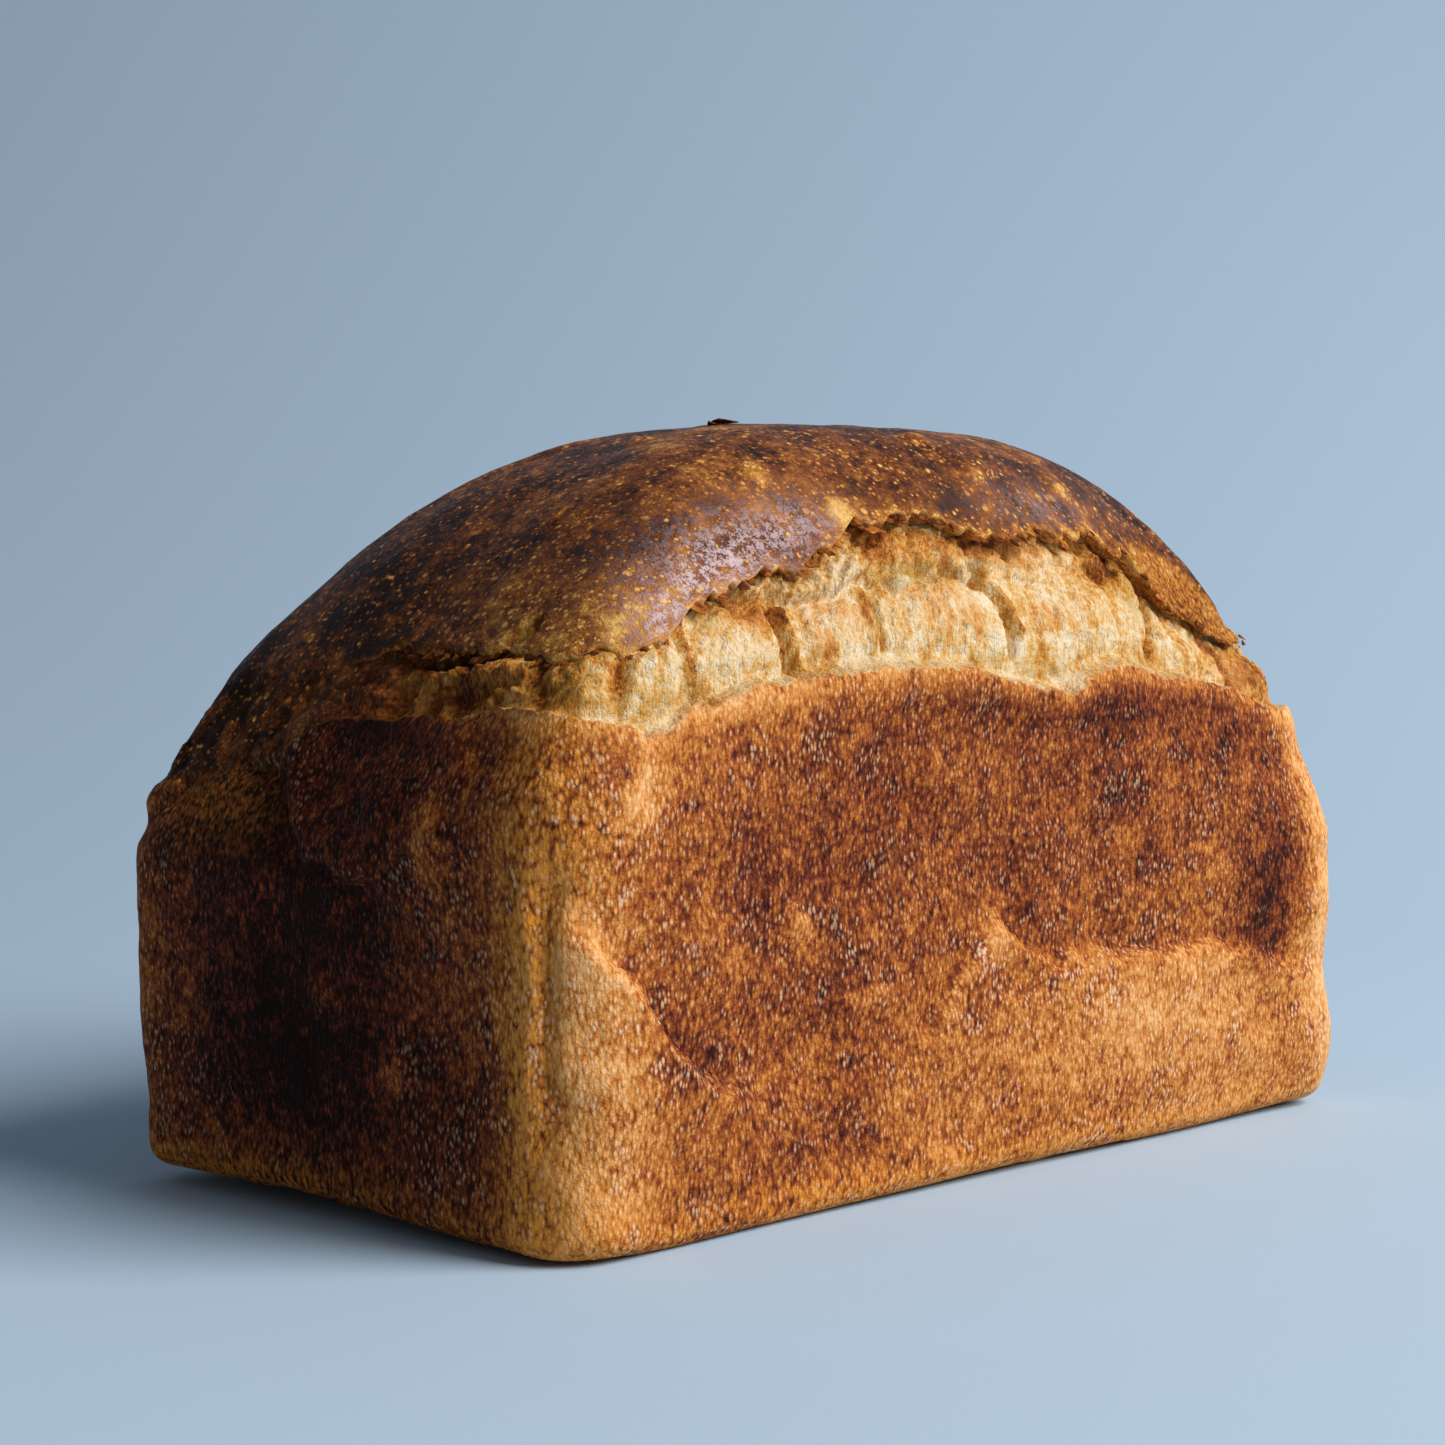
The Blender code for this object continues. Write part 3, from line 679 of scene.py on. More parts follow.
def joined_rings(below, above):
    """Faces between two rings of points. Where one ring has twice the points, three faces fill each gap."""
    i = np.arange(min(len(below), len(above)))
    j = (i + 1) % len(i)
    if len(below) == len(above):
        return np.stack([below[i], below[j], above[j], above[i]], 1).tolist()
    if len(below) > len(above):
        left, middle, right = below[2 * i], below[2 * i + 1], below[2 * j]
        faces = [(left, middle, above[i]), (middle, above[j], above[i]), (middle, right, above[j])]
    else:
        left, middle, right = above[2 * i], above[2 * i + 1], above[2 * j]
        faces = [(below[i], middle, left), (below[i], below[j], middle), (below[j], right, middle)]
    return np.concatenate([np.stack(face, 1) for face in faces]).tolist()


def skin_mesh(name):
    """The closed mesh, and the list of grid cells that its points come from."""
    rings = []
    used = []
    for number, step in enumerate(row_step):
        columns = np.arange(0, len(place), step)
        rings.append(len(used) + np.arange(len(columns)))
        used += [(column, number) for column in columns]
    faces = []
    for below, above in zip(rings, rings[1:]):
        faces += joined_rings(below, above)
    used = np.array(used)
    corners = points[used[:, 0], used[:, 1]].tolist() + [[0, 0, 0], [PEAK_SHIFT, 0, PEAK_HEIGHT]]
    under_middle, peak = len(used), len(used) + 1
    faces += [[right, left, under_middle] for left, right in zip(rings[0], np.roll(rings[0], -1))]
    faces += [[left, right, peak] for left, right in zip(rings[-1], np.roll(rings[-1], -1))]
    mesh = bpy.data.meshes.new(name)
    mesh.from_pydata(corners, [], faces)
    mesh.shade_smooth()
    return mesh, used


# The looks of the skin: browned crust on the walls, a darker glossier crust on the dome, and pale crumb in
# the tear. Where each kind is, from 0 to 1, is kept at the points of the mesh for the material.

# How dark the crust is baked, with painted shading in a few places: place, height, how wide, how tall, and
# how much darker or lighter. The patch at front(-80), height 32, is painted shade along the crease there.
# On the left end the darker patches are partly its darker crust and partly painted shade, as that end faces
# away from the lamp; the lighter patch at left_end(-48) is painted light where the front left corner turns
# away from it.
BAKE_AT_BASE = 0.56
BAKE_AND_SHADING_PATCHES = [
    (front(10), 72, 62, 16, 0.1), (front(30), 84, 50, 5, 0.14), (front(84), 46, 11, 17, 0.3),
    (front(66), 78, 18, 7, 0.12), (front(-58), 62, 16, 9, 0.16), (front(-20), 52, 50, 14, 0.04),
    (front(-80), 32, 9, 6, 0.08), (front(-60), 10, 28, 9, 0.08), (front(42), 26, 42, 10, -0.3),
    (front(-1), 44, 5, 6, -0.4), (front(72), 14, 22, 10, -0.18), (front(20), 14, 40, 7, -0.1),
    (front(-91), 73, 4, 6, -0.35), (front(-98), 40, 11, 24, -0.26), (front(-94), 80, 14, 4, 0.06),
    (front(-100), 10, 12, 10, -0.2), (front(-54), 50, 3, 3, -0.35), (front(-33), 36, 3, 2, -0.25),
    (front(102), 50, 7, 60, -0.3), (front(60), 3, 60, 6, -0.18), (front(-30), 2, 60, 4, -0.16),
    (front(-70), 87, 30, 4, -0.16), (FRONT_LEFT, 40, 9, 60, -0.1), (FRONT_LEFT, 84, 12, 8, 0.06),
    (left_end(-48), 40, 6, 50, -0.14), (left_end(8), 42, 38, 30, 0.42), (left_end(-20), 74, 22, 12, 0.2),
    (left_end(0), 20, 44, 18, 0.14), (left_end(-8), 83, 26, 4, 0.3), (left_end(30), 70, 24, 14, 0.18),
    (left_end(2), 38, 4, 5, -0.2), (left_end(-17), 28, 4, 4, -0.2), (left_end(-26), 67, 4, 9, -0.2),
    (FRONT_RIGHT, 40, 9, 60, -0.2), (right_end(0), 50, 36, 22, 0.2), (right_end(10), 12, 30, 8, -0.2),
    (BACK_RIGHT, 40, 9, 60, -0.2), (back(0), 54, 70, 22, 0.18), (back(40), 24, 30, 9, -0.24),
    (back(-30), 4, 80, 8, -0.16), (BACK_LEFT, 40, 9, 60, -0.16),
]
# Orange-yellow crust along the base and at the corners. At the front left corner, most of all at
# left_end(-48), it is partly the crust's own amber and partly painted light where the corner turns away
# from the lamp.
OCHRE_AND_LIGHT_PATCHES = [
    (left_end(-48), 34, 5, 40, 1), (FRONT_LEFT, 8, 12, 8, 0.5), (FRONT_LEFT, 66, 7, 16, 0.5),
    (front(-40), 3, 60, 4, 0.6), (front(40), 2, 50, 4, 0.45), (left_end(20), 4, 40, 5, 0.5),
    (left_end(34), 70, 14, 8, 0.35), (back(0), 2, 100, 4, 0.5), (right_end(0), 3, 50, 5, 0.5),
]
# Painted shading along the walls' steps and creases: painted shade on a step's low side and in a crease,
# painted light on a step's high side and on a raised line.
STEP_SHADE = 0.1
CREASE_SHADE = 0.1
BLISTER_SHADE = 0.34

# How dark the dome is baked, in the same way.
DOME_BAKE_AT_BASE = 0.62
DOME_BAKE_PATCHES = [
    (left_end(0), 112, 60, 16, 0.1), (left_end(10), 90, 60, 14, 0.16), (front(-100), 103, 14, 8, -0.28),
    (left_end(-36), 100, 20, 7, -0.28), (front(-90), 120, 30, 10, 0.05), (front(20), 126, 40, 6, 0.06),
    (front(70), 122, 30, 10, 0.02), (back(40), 112, 50, 16, 0.1), (right_end(0), 108, 30, 12, 0.1),
    (back(-50), 90, 30, 10, -0.08),
]
# Where a pale pinkish-grey sheen is painted on the dome's front shoulder: a painted reflection of the
# window. The coat is glossier there too.
PAINTED_SHEEN_PATCHES = [
    (front(-84), 110, 20, 8, 1), (front(-95), 100, 8, 5, 0.8), (front(-62), 116, 16, 5, 0.6),
    (front(30), 121, 30, 4, 0.35),
]

# How toasted the torn crumb is: caramel under the lip, pale on the pillows. Along the creases and raised
# strands it is darker, which is painted shade in the creases and the strands' own brown. The patch at
# left_end(-13), height 95, is painted shade in the hole under the lip. Between the small folds it is
# painted shade, and on their crests painted light.
TOAST_AT_BASE = 0.17
CREASE_TOAST_AND_SHADE = 0.32
LIP_TOAST = 0.12
FOLD_PAINTED_SHADING = 0.1
UNDER_LIP_TOAST = 0.5
TOAST_AND_SHADE_PATCHES = [
    (front(-28), 114.5, 20, 3.5, 0.32), (front(10), 114.5, 30, 2.5, 0.32), (front(50), 110, 12, 4, 0.55),
    (front(-72), 103, 10, 3, 0.3), (front(-46), 97, 3, 2.4, 0.2), (front(-10), 100, 5, 2, 0.16),
    (front(22), 99, 8, 2, 0.2), (front(12), 93, 12, 2, 0.16), (left_end(6), 88, 22, 10, 0.6),
    (left_end(-26), 88, 14, 5, 0.35), (front(84), 96, 4, 5, 0.4), (front(98), 88, 8, 6, 0.35),
    (right_end(-20), 86, 26, 5, 0.4), (left_end(-13), 95, 10, 2.4, 0.8), (left_end(-36), 91, 14, 6, 0.2),
    (front(-106), 90, 8, 6, 0.12), (right_end(25), 86, 26, 12, 0.5), (back(0), 90, 70, 14, 0.5),
]
ROSY_PATCHES = [
    (front(-45), 100, 7, 5, 0.9), (front(-12), 103, 10, 4, 0.8), (front(22), 101, 9, 4, 0.7),
    (front(-70), 99, 6, 4, 0.7), (front(12), 113, 30, 3, 0.6), (front(88), 90, 8, 5, 0.6),
]
# Greenish-yellow tint of the crumb: painted shade in the hollows under the ledge and the lip and in the
# creases, and the crumb's own greenish-yellow along its lower band, just above the side crust.
OLIVE_AND_SHADE_PATCHES = [
    (front(-19), 109.5, 14, 1.6, 1), (front(11), 112.5, 4, 2, 0.9), (front(42), 113, 4, 2, 0.7),
    (front(16), 90.5, 8, 1.6, 0.7), (front(56), 103, 4, 6, 0.6), (front(-33), 100, 1.5, 5, 0.6),
    (front(-80), 101, 4, 2, 0.5), (left_end(-50), 88, 5, 4, 0.4), (front(-42), 93, 28, 1.8, 0.4),
    (front(46), 92, 16, 1.8, 0.45), (front(-88), 88, 12, 2.4, 0.45), (front(-3), 93, 10, 1.6, 0.4),
]


def painted(start, patches):
    """A value laid down in soft patches over the loaf."""
    value = np.full(facts["height"].shape, float(start))
    for at, up, wide, tall, change in patches:
        value += change * swelling(facts["place"], facts["height"], at, up * MM, wide * MM, tall * MM)
    return np.clip(value, 0, 1)


region = facts["region"]
open_here = np.broadcast_to(openness, region.shape)
on_dome = np.where(region == DOME, 1, 0.0)
in_tear = (region == CRUMB) | (region == UNDER_LIP)
above_edge = facts["height"] - edge
above_edge = np.where(region == WALL, np.minimum(above_edge, 0), above_edge)
torn = open_here * in_tear
toward_dome = np.where(in_tear, smooth_step(facts["height"], edge, lip), on_dome)

toast_and_painted_shade = painted(TOAST_AT_BASE, TOAST_AND_SHADE_PATCHES)
# Darker along the creases, as painted shade, and along the raised strands, their own brown.
for path, wide, far in CRUMB_LINES:
    gap, _ = near_line(facts["place"], facts["height"], path)
    toast_and_painted_shade += CREASE_TOAST_AND_SHADE * np.exp(-((gap / (1.1 * wide)) ** 2))
folds = crumb_folds(unrolled(facts["place"], facts["height"]))
toast_and_painted_shade += LIP_TOAST * smooth_step(facts["height"], lip - 5 * MM, lip)
# Painted shade between the small folds and painted light on their crests.
toast_and_painted_shade += FOLD_PAINTED_SHADING * (0.3 - folds)
flank = flank_share(facts["place"], facts["height"]) * on_dome * (open_here > 0.3)
looks = {
    "above_edge": above_edge / (10 * MM),
    "above_lip": np.where(region == DOME, facts["height"] - lip, -1) / (10 * MM),
    "open": open_here,
    "torn": torn,
    "dome": toward_dome,
    "bake": painted(BAKE_AT_BASE, BAKE_AND_SHADING_PATCHES),
    "ochre_and_painted_light": painted(0, OCHRE_AND_LIGHT_PATCHES),
    "dome_bake": painted(DOME_BAKE_AT_BASE, DOME_BAKE_PATCHES),
    "painted_sheen": painted(0, PAINTED_SHEEN_PATCHES) * toward_dome,
    "toast_and_painted_shade": np.where(region == UNDER_LIP, UNDER_LIP_TOAST, np.clip(toast_and_painted_shade, 0, 1)),
    "olive_and_painted_shade": painted(0, OLIVE_AND_SHADE_PATCHES) * torn,
    "rosy": painted(0, ROSY_PATCHES) * torn,
    "flank": flank,
}

# Painted shading along the walls' steps and creases: painted shade on a step's low side and in a crease,
# painted light on a step's high side and on a raised line.
shifted = wavering(facts["place"], facts["height"])
for path, soft, fade, far in WALL_STEPS:
    gap, left_of = near_line(*shifted, path)
    low_side = smooth_step(-left_of * np.sign(far), -0.4 * MM, 1 * MM)
    looks["bake"] += STEP_SHADE * (2 * low_side - 1) * np.exp(-((gap / (0.5 * fade)) ** 2))
looks["bake"] -= CREASE_SHADE / MM * lines_out(WALL_LINES, *shifted)
looks["dome_bake"] -= BLISTER_SHADE * dome_blisters(points)[1]

skin, cells = skin_mesh("loaf_skin")
for name, values in looks.items():
    kept = skin.attributes.new(name, "FLOAT", "POINT")
    at_points = np.concatenate([values[cells[:, 0], cells[:, 1]], [values[0, 0], values[0, -1]]])
    kept.data.foreach_set("value", at_points.astype(np.float32))


def linear(red, green, blue):
    """A colour as a photograph shows it, 0 to 255, in the light that materials work in."""
    channels = [value / 255 for value in (red, green, blue)]
    return [c / 12.92 if c <= 0.04045 else ((c + 0.055) / 1.055) ** 2.4 for c in channels] + [1]


class Shade:
    """A socket in a material's nodes, so that the shader's maths is written as sums."""

    def __init__(self, tree, socket=None):
        self.tree = tree
        self.socket = socket

    def node(self, kind, inputs=(), output=0, stops=(), **settings):
        """Adds a node: sets it, fills its sockets with values or links, and gives one of its outputs."""
        made = self.tree.nodes.new(kind)
        for name, value in settings.items():
            setattr(made, name, value)
        for number, (at, colour) in enumerate(stops):
            ramp = made.color_ramp.elements
            stop = ramp[number] if number < 2 else ramp.new(at)
            stop.position = at
            stop.color = colour
        for name, value in dict(inputs).items():
            if isinstance(value, Shade):
                self.tree.links.new(value.socket, made.inputs[name])
            else:
                made.inputs[name].default_value = value
        return Shade(self.tree, made.outputs[output] if made.outputs else None)

    def beside(self, output):
        """Another output of the node that this socket belongs to."""
        return Shade(self.tree, self.socket.node.outputs[output])

    def maths(self, operation, first, second):
        return self.node("ShaderNodeMath", {0: first, 1: second}, operation=operation)

    def __add__(self, other):
        return self.maths("ADD", self, other)

    __radd__ = __add__

    def __sub__(self, other):
        return self.maths("SUBTRACT", self, other)

    def __rsub__(self, other):
        return self.maths("SUBTRACT", other, self)

    def __mul__(self, other):
        return self.maths("MULTIPLY", self, other)

    __rmul__ = __mul__

    def __truediv__(self, other):
        return self.maths("DIVIDE", self, other)

    def __rtruediv__(self, other):
        return self.maths("DIVIDE", other, self)

    def __pow__(self, other):
        return self.maths("POWER", self, other)

    def __rpow__(self, other):
        return self.maths("POWER", other, self)

    def eased(self, low, high):
        """0 below low, 1 above high."""
        return self.node("ShaderNodeMapRange", {0: self, 1: low, 2: high}, interpolation_type="SMOOTHSTEP")

    def colours(self, stops):
        return self.node("ShaderNodeValToRGB", {0: self}, stops=stops)

    def mixed(self, under, over):
        """One colour over another where this socket is 1."""
        return self.node("ShaderNodeMix", {0: self, 6: under, 7: over}, output=2, data_type="RGBA")

    def noise(self, size, detail=2, roughness=0.5):
        """Even noise about 0, with lumps of a size in metres; this socket is a place."""
        inputs = {"Vector": self, "Scale": 1 / size, "Detail": detail, "Roughness": roughness}
        return self.node("ShaderNodeTexNoise", inputs) - 0.5

    def stretched(self, x, y, z):
        return self.node("ShaderNodeVectorMath", {0: self, 1: (x, y, z)}, operation="MULTIPLY")


def new_material(name):
    material = bpy.data.materials.new(name)
    material.use_nodes = True
    material.node_tree.nodes.clear()
    return material, Shade(material.node_tree)


def finish_material(shade, colour, roughness, height, others=()):
    """Joins the maths to the shader. Height is relief in metres, too fine to model."""
    normal = shade.node("ShaderNodeBump", {"Height": height, "Strength": 1, "Distance": 1})
    inputs = {"Base Color": colour, "Roughness": roughness, "Normal": normal}
    surface = shade.node("ShaderNodeBsdfPrincipled", {**inputs, **dict(others)})
    shade.node("ShaderNodeOutputMaterial", {"Surface": surface})


def colour_stops(*rows):
    """A ramp's stops, from how far along each one is and its red, green and blue."""
    return [(at, linear(*colour)) for at, *colour in rows]


# Colours of the walls' crust from pale to burnt, of the crumb from pale to toasted, and of the dome.
CRUST_STOPS = colour_stops(
    (0, 240, 186, 132), (0.18, 222, 158, 94), (0.36, 198, 126, 58), (0.52, 162, 88, 34),
    (0.68, 118, 54, 27), (0.84, 76, 27, 12), (1, 32, 9, 3),
)
CRUMB_STOPS = colour_stops(
    (0, 240, 220, 190), (0.22, 231, 205, 162), (0.42, 218, 170, 100), (0.6, 196, 130, 52),
    (0.8, 148, 80, 28), (1, 78, 34, 14),
)
DOME_STOPS = colour_stops(
    (0, 230, 182, 96), (0.25, 196, 132, 52), (0.45, 150, 88, 34), (0.64, 116, 60, 20), (0.82, 78, 38, 9),
    (1, 36, 16, 4),
)

# The dome's small golden blisters, in three layers: how far apart they are, how rare the large ones are,
# and the largest and smallest reach of one, as a share of how far apart they are.
SPECKS = [(1.1 * MM, 1.1, 0.48, 0), (2.2 * MM, 2.4, 0.4, 0), (5 * MM, 2.5, 0.22, 0.02)]


def loaf_material():
    material, shade = new_material("baked_loaf")
    kept = {}
    for name in looks:
        kept[name] = shade.node("ShaderNodeAttribute", output="Fac", attribute_name=name)
    spot = shade.node("ShaderNodeTexCoord", output="Object")

    # The crust that lay against the tin: fine beads with darker gaps, drawn out upwards near the top.
    grain = spot.stretched(1, 1, 0.45).noise(0.9 * MM, 2, 0.55)
    fine_grain = spot.noise(0.4 * MM, 2, 0.6)
    bead_place = spot.stretched(1, 1, 0.55)
    bead_cells = shade.node("ShaderNodeTexVoronoi", {"Vector": bead_place, "Scale": 1 / (0.75 * MM)})
    bead_chance = shade.node("ShaderNodeSeparateColor", {0: bead_cells.beside("Color")})
    beads = 0.45 - bead_cells
    blotches = spot.noise(9 * MM, 4, 0.6)
    broad = spot.noise(28 * MM, 2)
    flecks = spot.noise(3 * MM, 3, 0.65)
    crust_tone = kept["bake"] + broad * 0.4 + blotches * 0.6 + flecks * 0.7 + grain * 0.65 - beads * 0.35 \
        + fine_grain * 0.5
    golden = (kept["above_edge"] + flecks * 0.6 + blotches * 0.5).eased(-0.55, 0) * kept["open"]
    crust = (crust_tone - golden * (0.22 + grain * 1.5)).colours(CRUST_STOPS)
    # Orange-yellow patches, partly painted light on the front left corner.
    crust = (kept["ochre_and_painted_light"] * (0.5 - grain * 2.5 + beads)).mixed(crust, linear(238, 148, 40))
    pale_beads = (beads + bead_chance * 0.5 + blotches * 0.6 + flecks * 0.5).eased(0.42, 0.78)
    crust = (pale_beads * (1.35 - kept["bake"] * 1.45)).mixed(crust, linear(228, 182, 134))
    # Painted glints: pale highlights mixed into the crust's colour on the beads and in clusters, fewer
    # where the crust is darker; the same mask adds coat.
    squiggles = spot.stretched(1, 1, 0.5).noise(0.6 * MM, 3, 0.7)
    glints = (beads * 0.7 + squiggles * 1.5 + flecks * 1.3 + blotches * 1.4).eased(0.16, 0.6)
    crust = (glints * (1.65 - kept["bake"] * 1.6) ** 2 * 0.7).mixed(crust, linear(232, 186, 148))

    # The dome's smoother, glossier crust with golden blisters.
    speck = 0
    for size, chance_power, most, least in SPECKS:
        distance = shade.node("ShaderNodeTexVoronoi", {"Vector": spot, "Scale": 1 / size})
        chance = shade.node("ShaderNodeSeparateColor", {0: distance.beside("Color")})
        reach = chance ** chance_power * most + least
        speck = speck + (1 - (distance / reach).eased(0.5, 1.2))
    wrinkle = spot.noise(1.4 * MM, 4, 0.65)
    speck = speck * (0.8 + blotches * 2 + broad)
    dome_tone = kept["dome_bake"] + 0.09 + broad * 0.8 + blotches * 1.3 + wrinkle + flecks * 0.9 \
        + fine_grain * 0.5 - speck * 0.55
    thin = kept["open"] * (1 - (kept["above_lip"] + flecks * 0.2).eased(-0.05, 0.4))
    dome = (dome_tone - thin * 0.3).colours(DOME_STOPS)
    # Painted reflection: the window's pale sheen mixed into the dome's colour in those patches, broken up
    # by the wrinkles; the same mask adds coat.
    sheen = kept["painted_sheen"] * (0.55 + wrinkle * 3 + fine_grain * 2 + flecks).eased(0.2, 0.95)
    dome = (sheen * 0.9).mixed(dome, linear(204, 172, 172))

    # The torn crumb, drawn out in fibres.
    fibre = spot.stretched(1, 1, 0.16).noise(0.5 * MM, 3, 0.6)
    crumb_grain = spot.noise(1.2 * MM, 4, 0.65)
    crumb_tone = kept["toast_and_painted_shade"] + blotches * 0.9 + flecks * 0.5 + crumb_grain * 0.9 + fibre * 0.7 + 0.11
    crumb_colour = crumb_tone.colours(CRUMB_STOPS)
    # Greenish-yellow: painted shade in the hollows and creases, and the crumb's own tint along its lower
    # band.
    crumb_colour = (kept["olive_and_painted_shade"] * 0.7).mixed(crumb_colour, linear(168, 130, 40))
    rosy = kept["rosy"] * (0.4 + blotches * 2 + fibre)
    crumb_colour = rosy.mixed(crumb_colour, linear(222, 146, 88))
    flank_tone = 0.7 + fibre + crumb_grain + blotches * 0.6
    flank_colour = flank_tone.colours(CRUMB_STOPS)

    torn_here = kept["torn"] * (kept["above_edge"] + flecks * 0.5 + crumb_grain * 0.3).eased(-0.06, 0.16)
    colour = kept["dome"].mixed(crust, dome)
    colour = torn_here.mixed(colour, crumb_colour)
    colour = kept["flank"].mixed(colour, flank_colour)

    soft = torn_here + kept["flank"] * 0.8
    hard = 1 - soft
    wall_only = hard * (1 - kept["dome"])
    dome_only = hard * kept["dome"]
    roughness = 0.7 + soft * 0.25 - dome_only * 0.2
    crumbly = kept["torn"] + kept["flank"]
    wall_relief = beads * (0.22 * MM) + grain * (0.4 * MM) + fine_grain * (0.2 * MM)
    dome_relief = wrinkle * (0.65 * MM) + fine_grain * (0.26 * MM)
    crumb_relief = fibre * (0.5 * MM) + crumb_grain * (0.9 * MM)
    height = (1 - kept["dome"]) * (1 - kept["torn"]) * wall_relief \
        + kept["dome"] * (1 - crumbly) * dome_relief + crumbly * crumb_relief
    coat = wall_only * glints * (0.8 - kept["bake"]) + dome_only * (0.1 + sheen * 0.6) + soft * 0.08
    gloss = {"Specular IOR Level": 0.1, "Coat Weight": coat, "Coat Roughness": 0.25}
    finish_material(shade, colour, roughness, height, gloss)
    return material


def new_object(name, data):
    made = bpy.data.objects.new(name, data)
    bpy.context.scene.collection.objects.link(made)
    return made


loaf = new_object("loaf_skin", skin)
skin.materials.append(loaf_material())
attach(loaf, "root")
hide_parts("loaf")


# Loose scraps: thin ragged flakes of crust that hang along the lip where the dome tore, and the burnt scrap
# baked onto the top of the dome. Each is a small curled plate.

# Where a row of them runs: its line, its ends, how many, how wide, and how dark from 0 to 1.
SCRAP_ROWS = [
    (lip_line, front(-88), front(70), 60, 1.2 * MM, 0.86),
    (lip_line, left_end(0), front(-92), 24, 1.2 * MM, 0.9),
    (lip_line, front(70), right_end(20), 20, 1.2 * MM, 0.86),
]
SCRAP_SIDES = 7
SCRAP_THICKNESS = 0.35 * MM
chance = np.random.default_rng(7)


def scrap(place, height, out, wide, tall, dark):
    """One scrap: where it is, how far out, its size and how dark it is."""
    return {"place": place, "height": height, "out": out, "wide": wide, "tall": tall, "dark": dark}


scraps = [
    scrap(left_end(-24), 135.3 * MM, 0.3 * MM, 2.8 * MM, 1.6 * MM, 1),
    scrap(left_end(-22), 135 * MM, 0.2 * MM, 1.6 * MM, 1.2 * MM, 1),
]
for line, start, end, count, size, dark in SCRAP_ROWS:
    run = along_from(end, start)
    for number in range(count):
        at = start + run * (number + chance.random()) / count
        grown = size * (0.5 + chance.random())
        height = float(line(np.array([at]))[0]) - 0.5 * grown
        tall = grown * (0.5 + 0.6 * chance.random())
        scraps.append(scrap(at, height, -0.1 * MM, grown, tall, dark + 0.25 * (chance.random() - 0.5)))


def scrap_mesh(name):
    at = np.array([one["place"] for one in scraps])
    rise = rise_at(at, np.array([one["height"] for one in scraps]))
    middles = whole_surface(at, rise)
    outward = outward_at(at, rise)
    across = whole_surface(at + 1 * MM, rise) - whole_surface(at - 1 * MM, rise)
    across /= np.linalg.norm(across, axis=-1, keepdims=True)
    corners = []
    faces = []
    dark = []
    for one, middle, out, along in zip(scraps, middles, outward, across):
        up = np.cross(out, along)
        start = len(corners)
        angles = np.arange(SCRAP_SIDES) / SCRAP_SIDES * 2 * np.pi
        angles = angles + 0.5 * chance.random(SCRAP_SIDES)
        reach = 0.35 + chance.random(SCRAP_SIDES)
        lean = chance.random() - 0.5
        upward = np.append(reach * np.sin(angles), 0) * one["tall"]
        sideways = np.append(reach * np.cos(angles), 0) * one["wide"] + lean * upward
        curl = one["out"] + 0.14 * one["tall"] * (1 - upward / one["tall"]) ** 2
        rim = middle + sideways[:, None] * along + upward[:, None] * up + curl[:, None] * out
        thick = np.append(np.full(SCRAP_SIDES, 0.3), 1) * SCRAP_THICKNESS
        corners += (rim + thick[:, None] * out).tolist() + (rim - thick[:, None] * out).tolist()
        face_middle, back = start + SCRAP_SIDES, start + SCRAP_SIDES + 1
        for i in range(SCRAP_SIDES):
            j = (i + 1) % SCRAP_SIDES
            faces.append((start + i, start + j, face_middle))
            faces.append((back + j, back + i, back + SCRAP_SIDES))
            faces.append((start + j, start + i, back + i, back + j))
        dark += [one["dark"]] * (2 * SCRAP_SIDES + 2)
    mesh = bpy.data.meshes.new(name)
    mesh.from_pydata(corners, [], faces)
    mesh.attributes.new("dark", "FLOAT", "POINT").data.foreach_set("value", np.array(dark, np.float32))
    return mesh


def scrap_material():
    material, shade = new_material("baked_scrap")
    spot = shade.node("ShaderNodeTexCoord", output="Object")
    dark = shade.node("ShaderNodeAttribute", output="Fac", attribute_name="dark")
    tone = dark + spot.noise(1.5 * MM, 3, 0.6) * 0.9 + spot.noise(5 * MM) * 0.5
    height = spot.noise(0.7 * MM, 3, 0.6) * (0.3 * MM)
    finish_material(shade, tone.colours(CRUMB_STOPS), 0.75, height, {"Specular IOR Level": 0.1})
    return material


loose = new_object("loose_scraps", scrap_mesh("loose_scraps"))
loose.data.materials.append(scrap_material())
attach(loose, "root")
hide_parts("loaf")


# The pale paper that the loaf stands on and that curves up behind it, with no line between the two. It is
# square to the camera's view.
FLOOR_FRONT = -2
FLOOR_REACH = 0.3
PAPER_TOP = 2.6
PAPER_HALF_WIDTH = 3
SWEEP_RADIUS = 1.6
SWEEP_STEPS = 40
VIEW_TURN = math.radians(46.62)


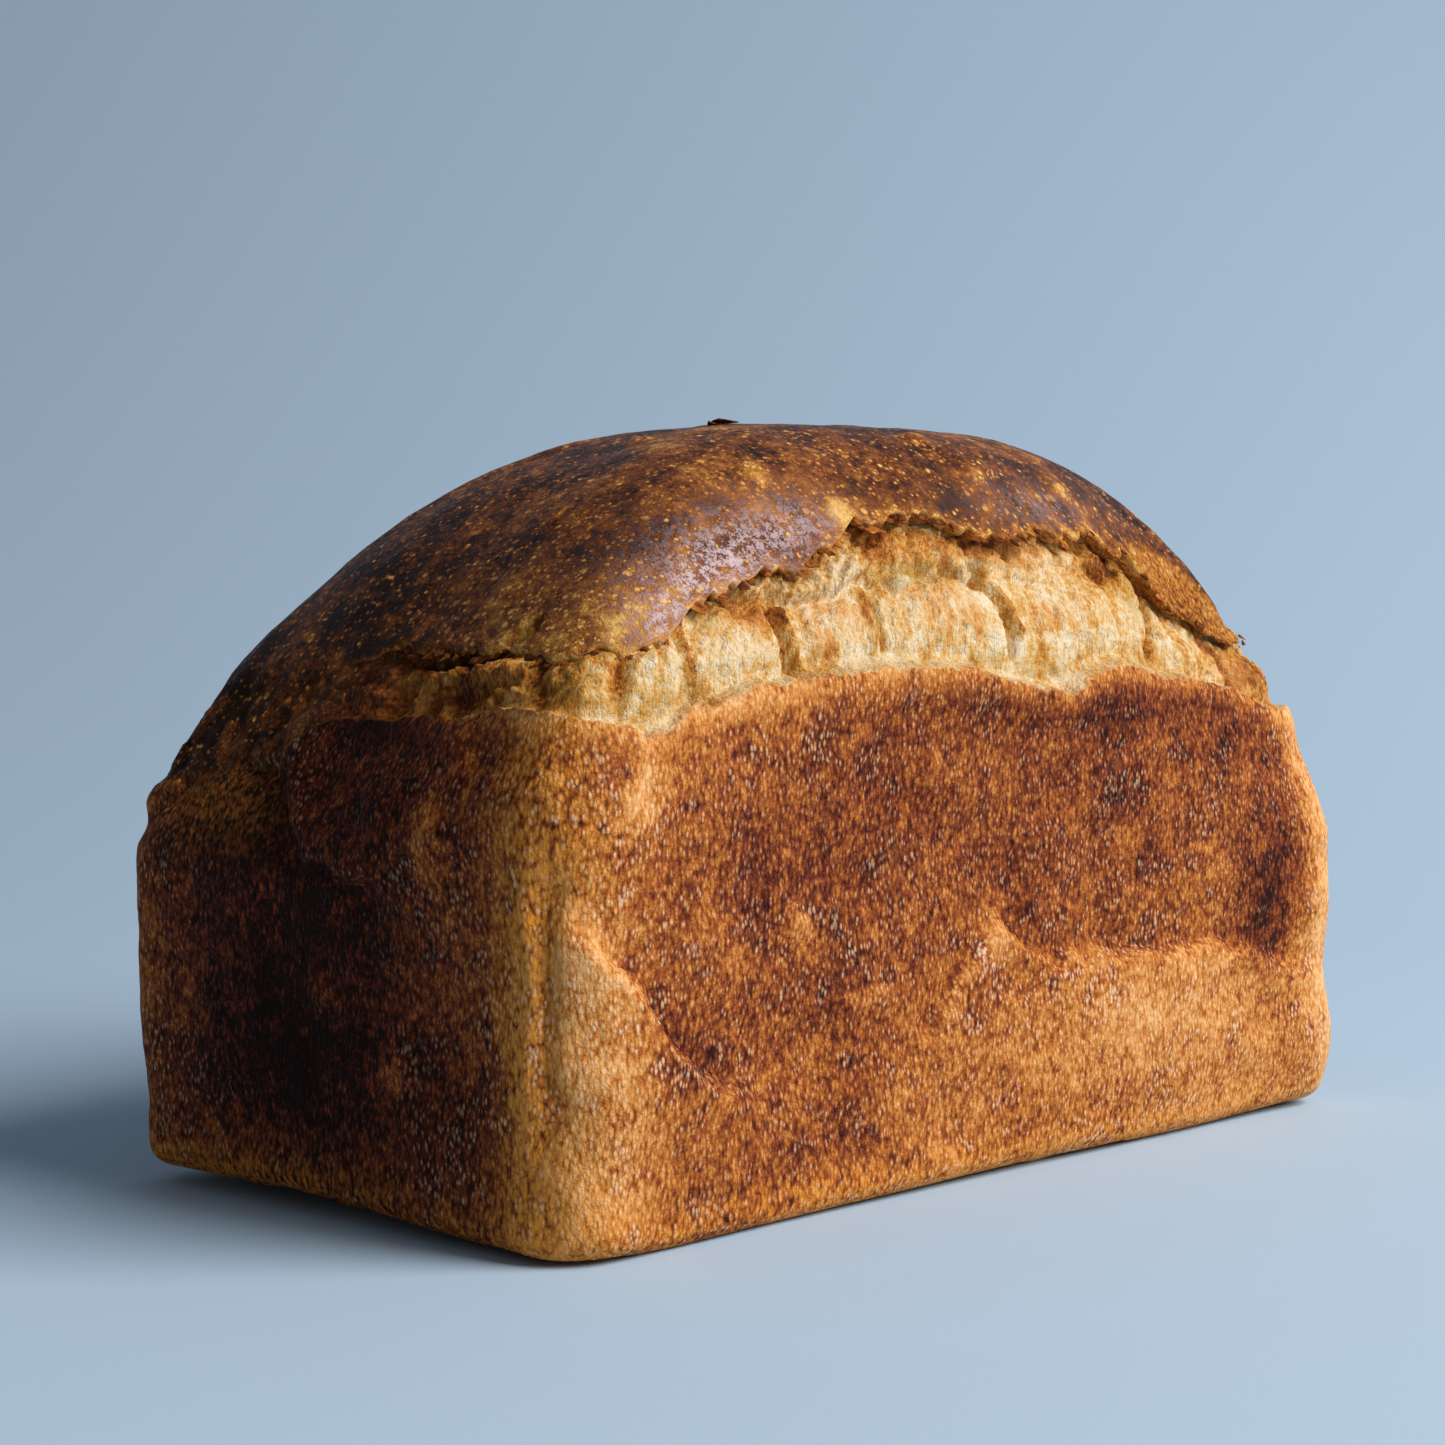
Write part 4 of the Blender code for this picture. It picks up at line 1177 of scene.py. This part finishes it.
def paper_mesh():
    """A floor square to the camera's view that turns up into a wall."""
    profile = [(FLOOR_FRONT, 0), (FLOOR_REACH, 0)]
    for step in range(1, SWEEP_STEPS + 1):
        angle = step / SWEEP_STEPS * math.pi / 2
        profile.append((FLOOR_REACH + SWEEP_RADIUS * math.sin(angle), SWEEP_RADIUS * (1 - math.cos(angle))))
    profile.append((FLOOR_REACH + SWEEP_RADIUS, PAPER_TOP))
    away = Vector((math.sin(VIEW_TURN), math.cos(VIEW_TURN), 0))
    across = Vector((math.cos(VIEW_TURN), -math.sin(VIEW_TURN), 0))
    corners = []
    for far, up in profile:
        for sideways in (-PAPER_HALF_WIDTH, PAPER_HALF_WIDTH):
            corners.append(away * far + across * sideways + Vector((0, 0, up)))
    faces = [(i, i + 1, i + 3, i + 2) for i in range(0, len(corners) - 2, 2)]
    mesh = bpy.data.meshes.new("paper")
    mesh.from_pydata(corners, [], faces)
    mesh.shade_smooth()
    return mesh


def paper_material():
    material, shade = new_material("pale_paper")
    spot = shade.node("ShaderNodeTexCoord", output="Object")
    tone = 0.5 + spot.noise(120 * MM, 3) * 0.1
    colour = tone.colours([(0, linear(178, 201, 222)), (1, linear(182, 205, 227))])
    finish_material(shade, colour, 0.9, spot.noise(0.5 * MM, 2) * (0.02 * MM))
    return material


paper = new_object("paper", paper_mesh())
paper.data.materials.append(paper_material())


# The light: one large soft light from the right of the camera, and a dim cool room.
TARGET = Vector((0, 0, 0.06))


def soft_light(name, turn, climb, distance, size, watts, colour):
    """An area light that looks at the loaf from a compass turn and a height, in degrees."""
    light = bpy.data.lights.new(name, "AREA")
    light.shape = "SQUARE"
    light.size = size
    light.energy = watts
    light.color = colour
    lamp = new_object(name, light)
    turn, climb = math.radians(turn), math.radians(climb)
    level = math.cos(climb)
    direction = Vector((math.sin(turn) * level, math.cos(turn) * level, math.sin(climb)))
    lamp.location = TARGET + direction * distance
    lamp.rotation_euler = direction.to_track_quat("Z", "Y").to_euler()


soft_light("window", turn=158, climb=37, distance=2, size=1.4, watts=57, colour=(1, 0.98, 0.95))
world = bpy.data.worlds.new("room")
world.use_nodes = True
room_light = world.node_tree.nodes["Background"].inputs
room_light["Color"].default_value = (0.86, 0.93, 1, 1)
room_light["Strength"].default_value = 0.15
bpy.context.scene.world = world
bpy.context.scene.view_settings.view_transform = "Standard"

# The camera stands where the photograph was taken, level with the dome and looking slightly down.
IMAGE_SIZE = 1445
FOCAL_PIXELS = 3000
SENSOR = 36
CAMERA_PLACE = (-0.4224, -0.3862, 0.1065)
LOOK_DOWN = 2.67
camera_data = bpy.data.cameras.new("camera")
camera_data.sensor_width = SENSOR
camera_data.lens = FOCAL_PIXELS / IMAGE_SIZE * SENSOR
camera_data.clip_start = 0.01
camera = new_object("camera", camera_data)
camera.location = CAMERA_PLACE
camera.rotation_euler = (math.radians(90 - LOOK_DOWN), 0, -VIEW_TURN)
bpy.context.scene.camera = camera
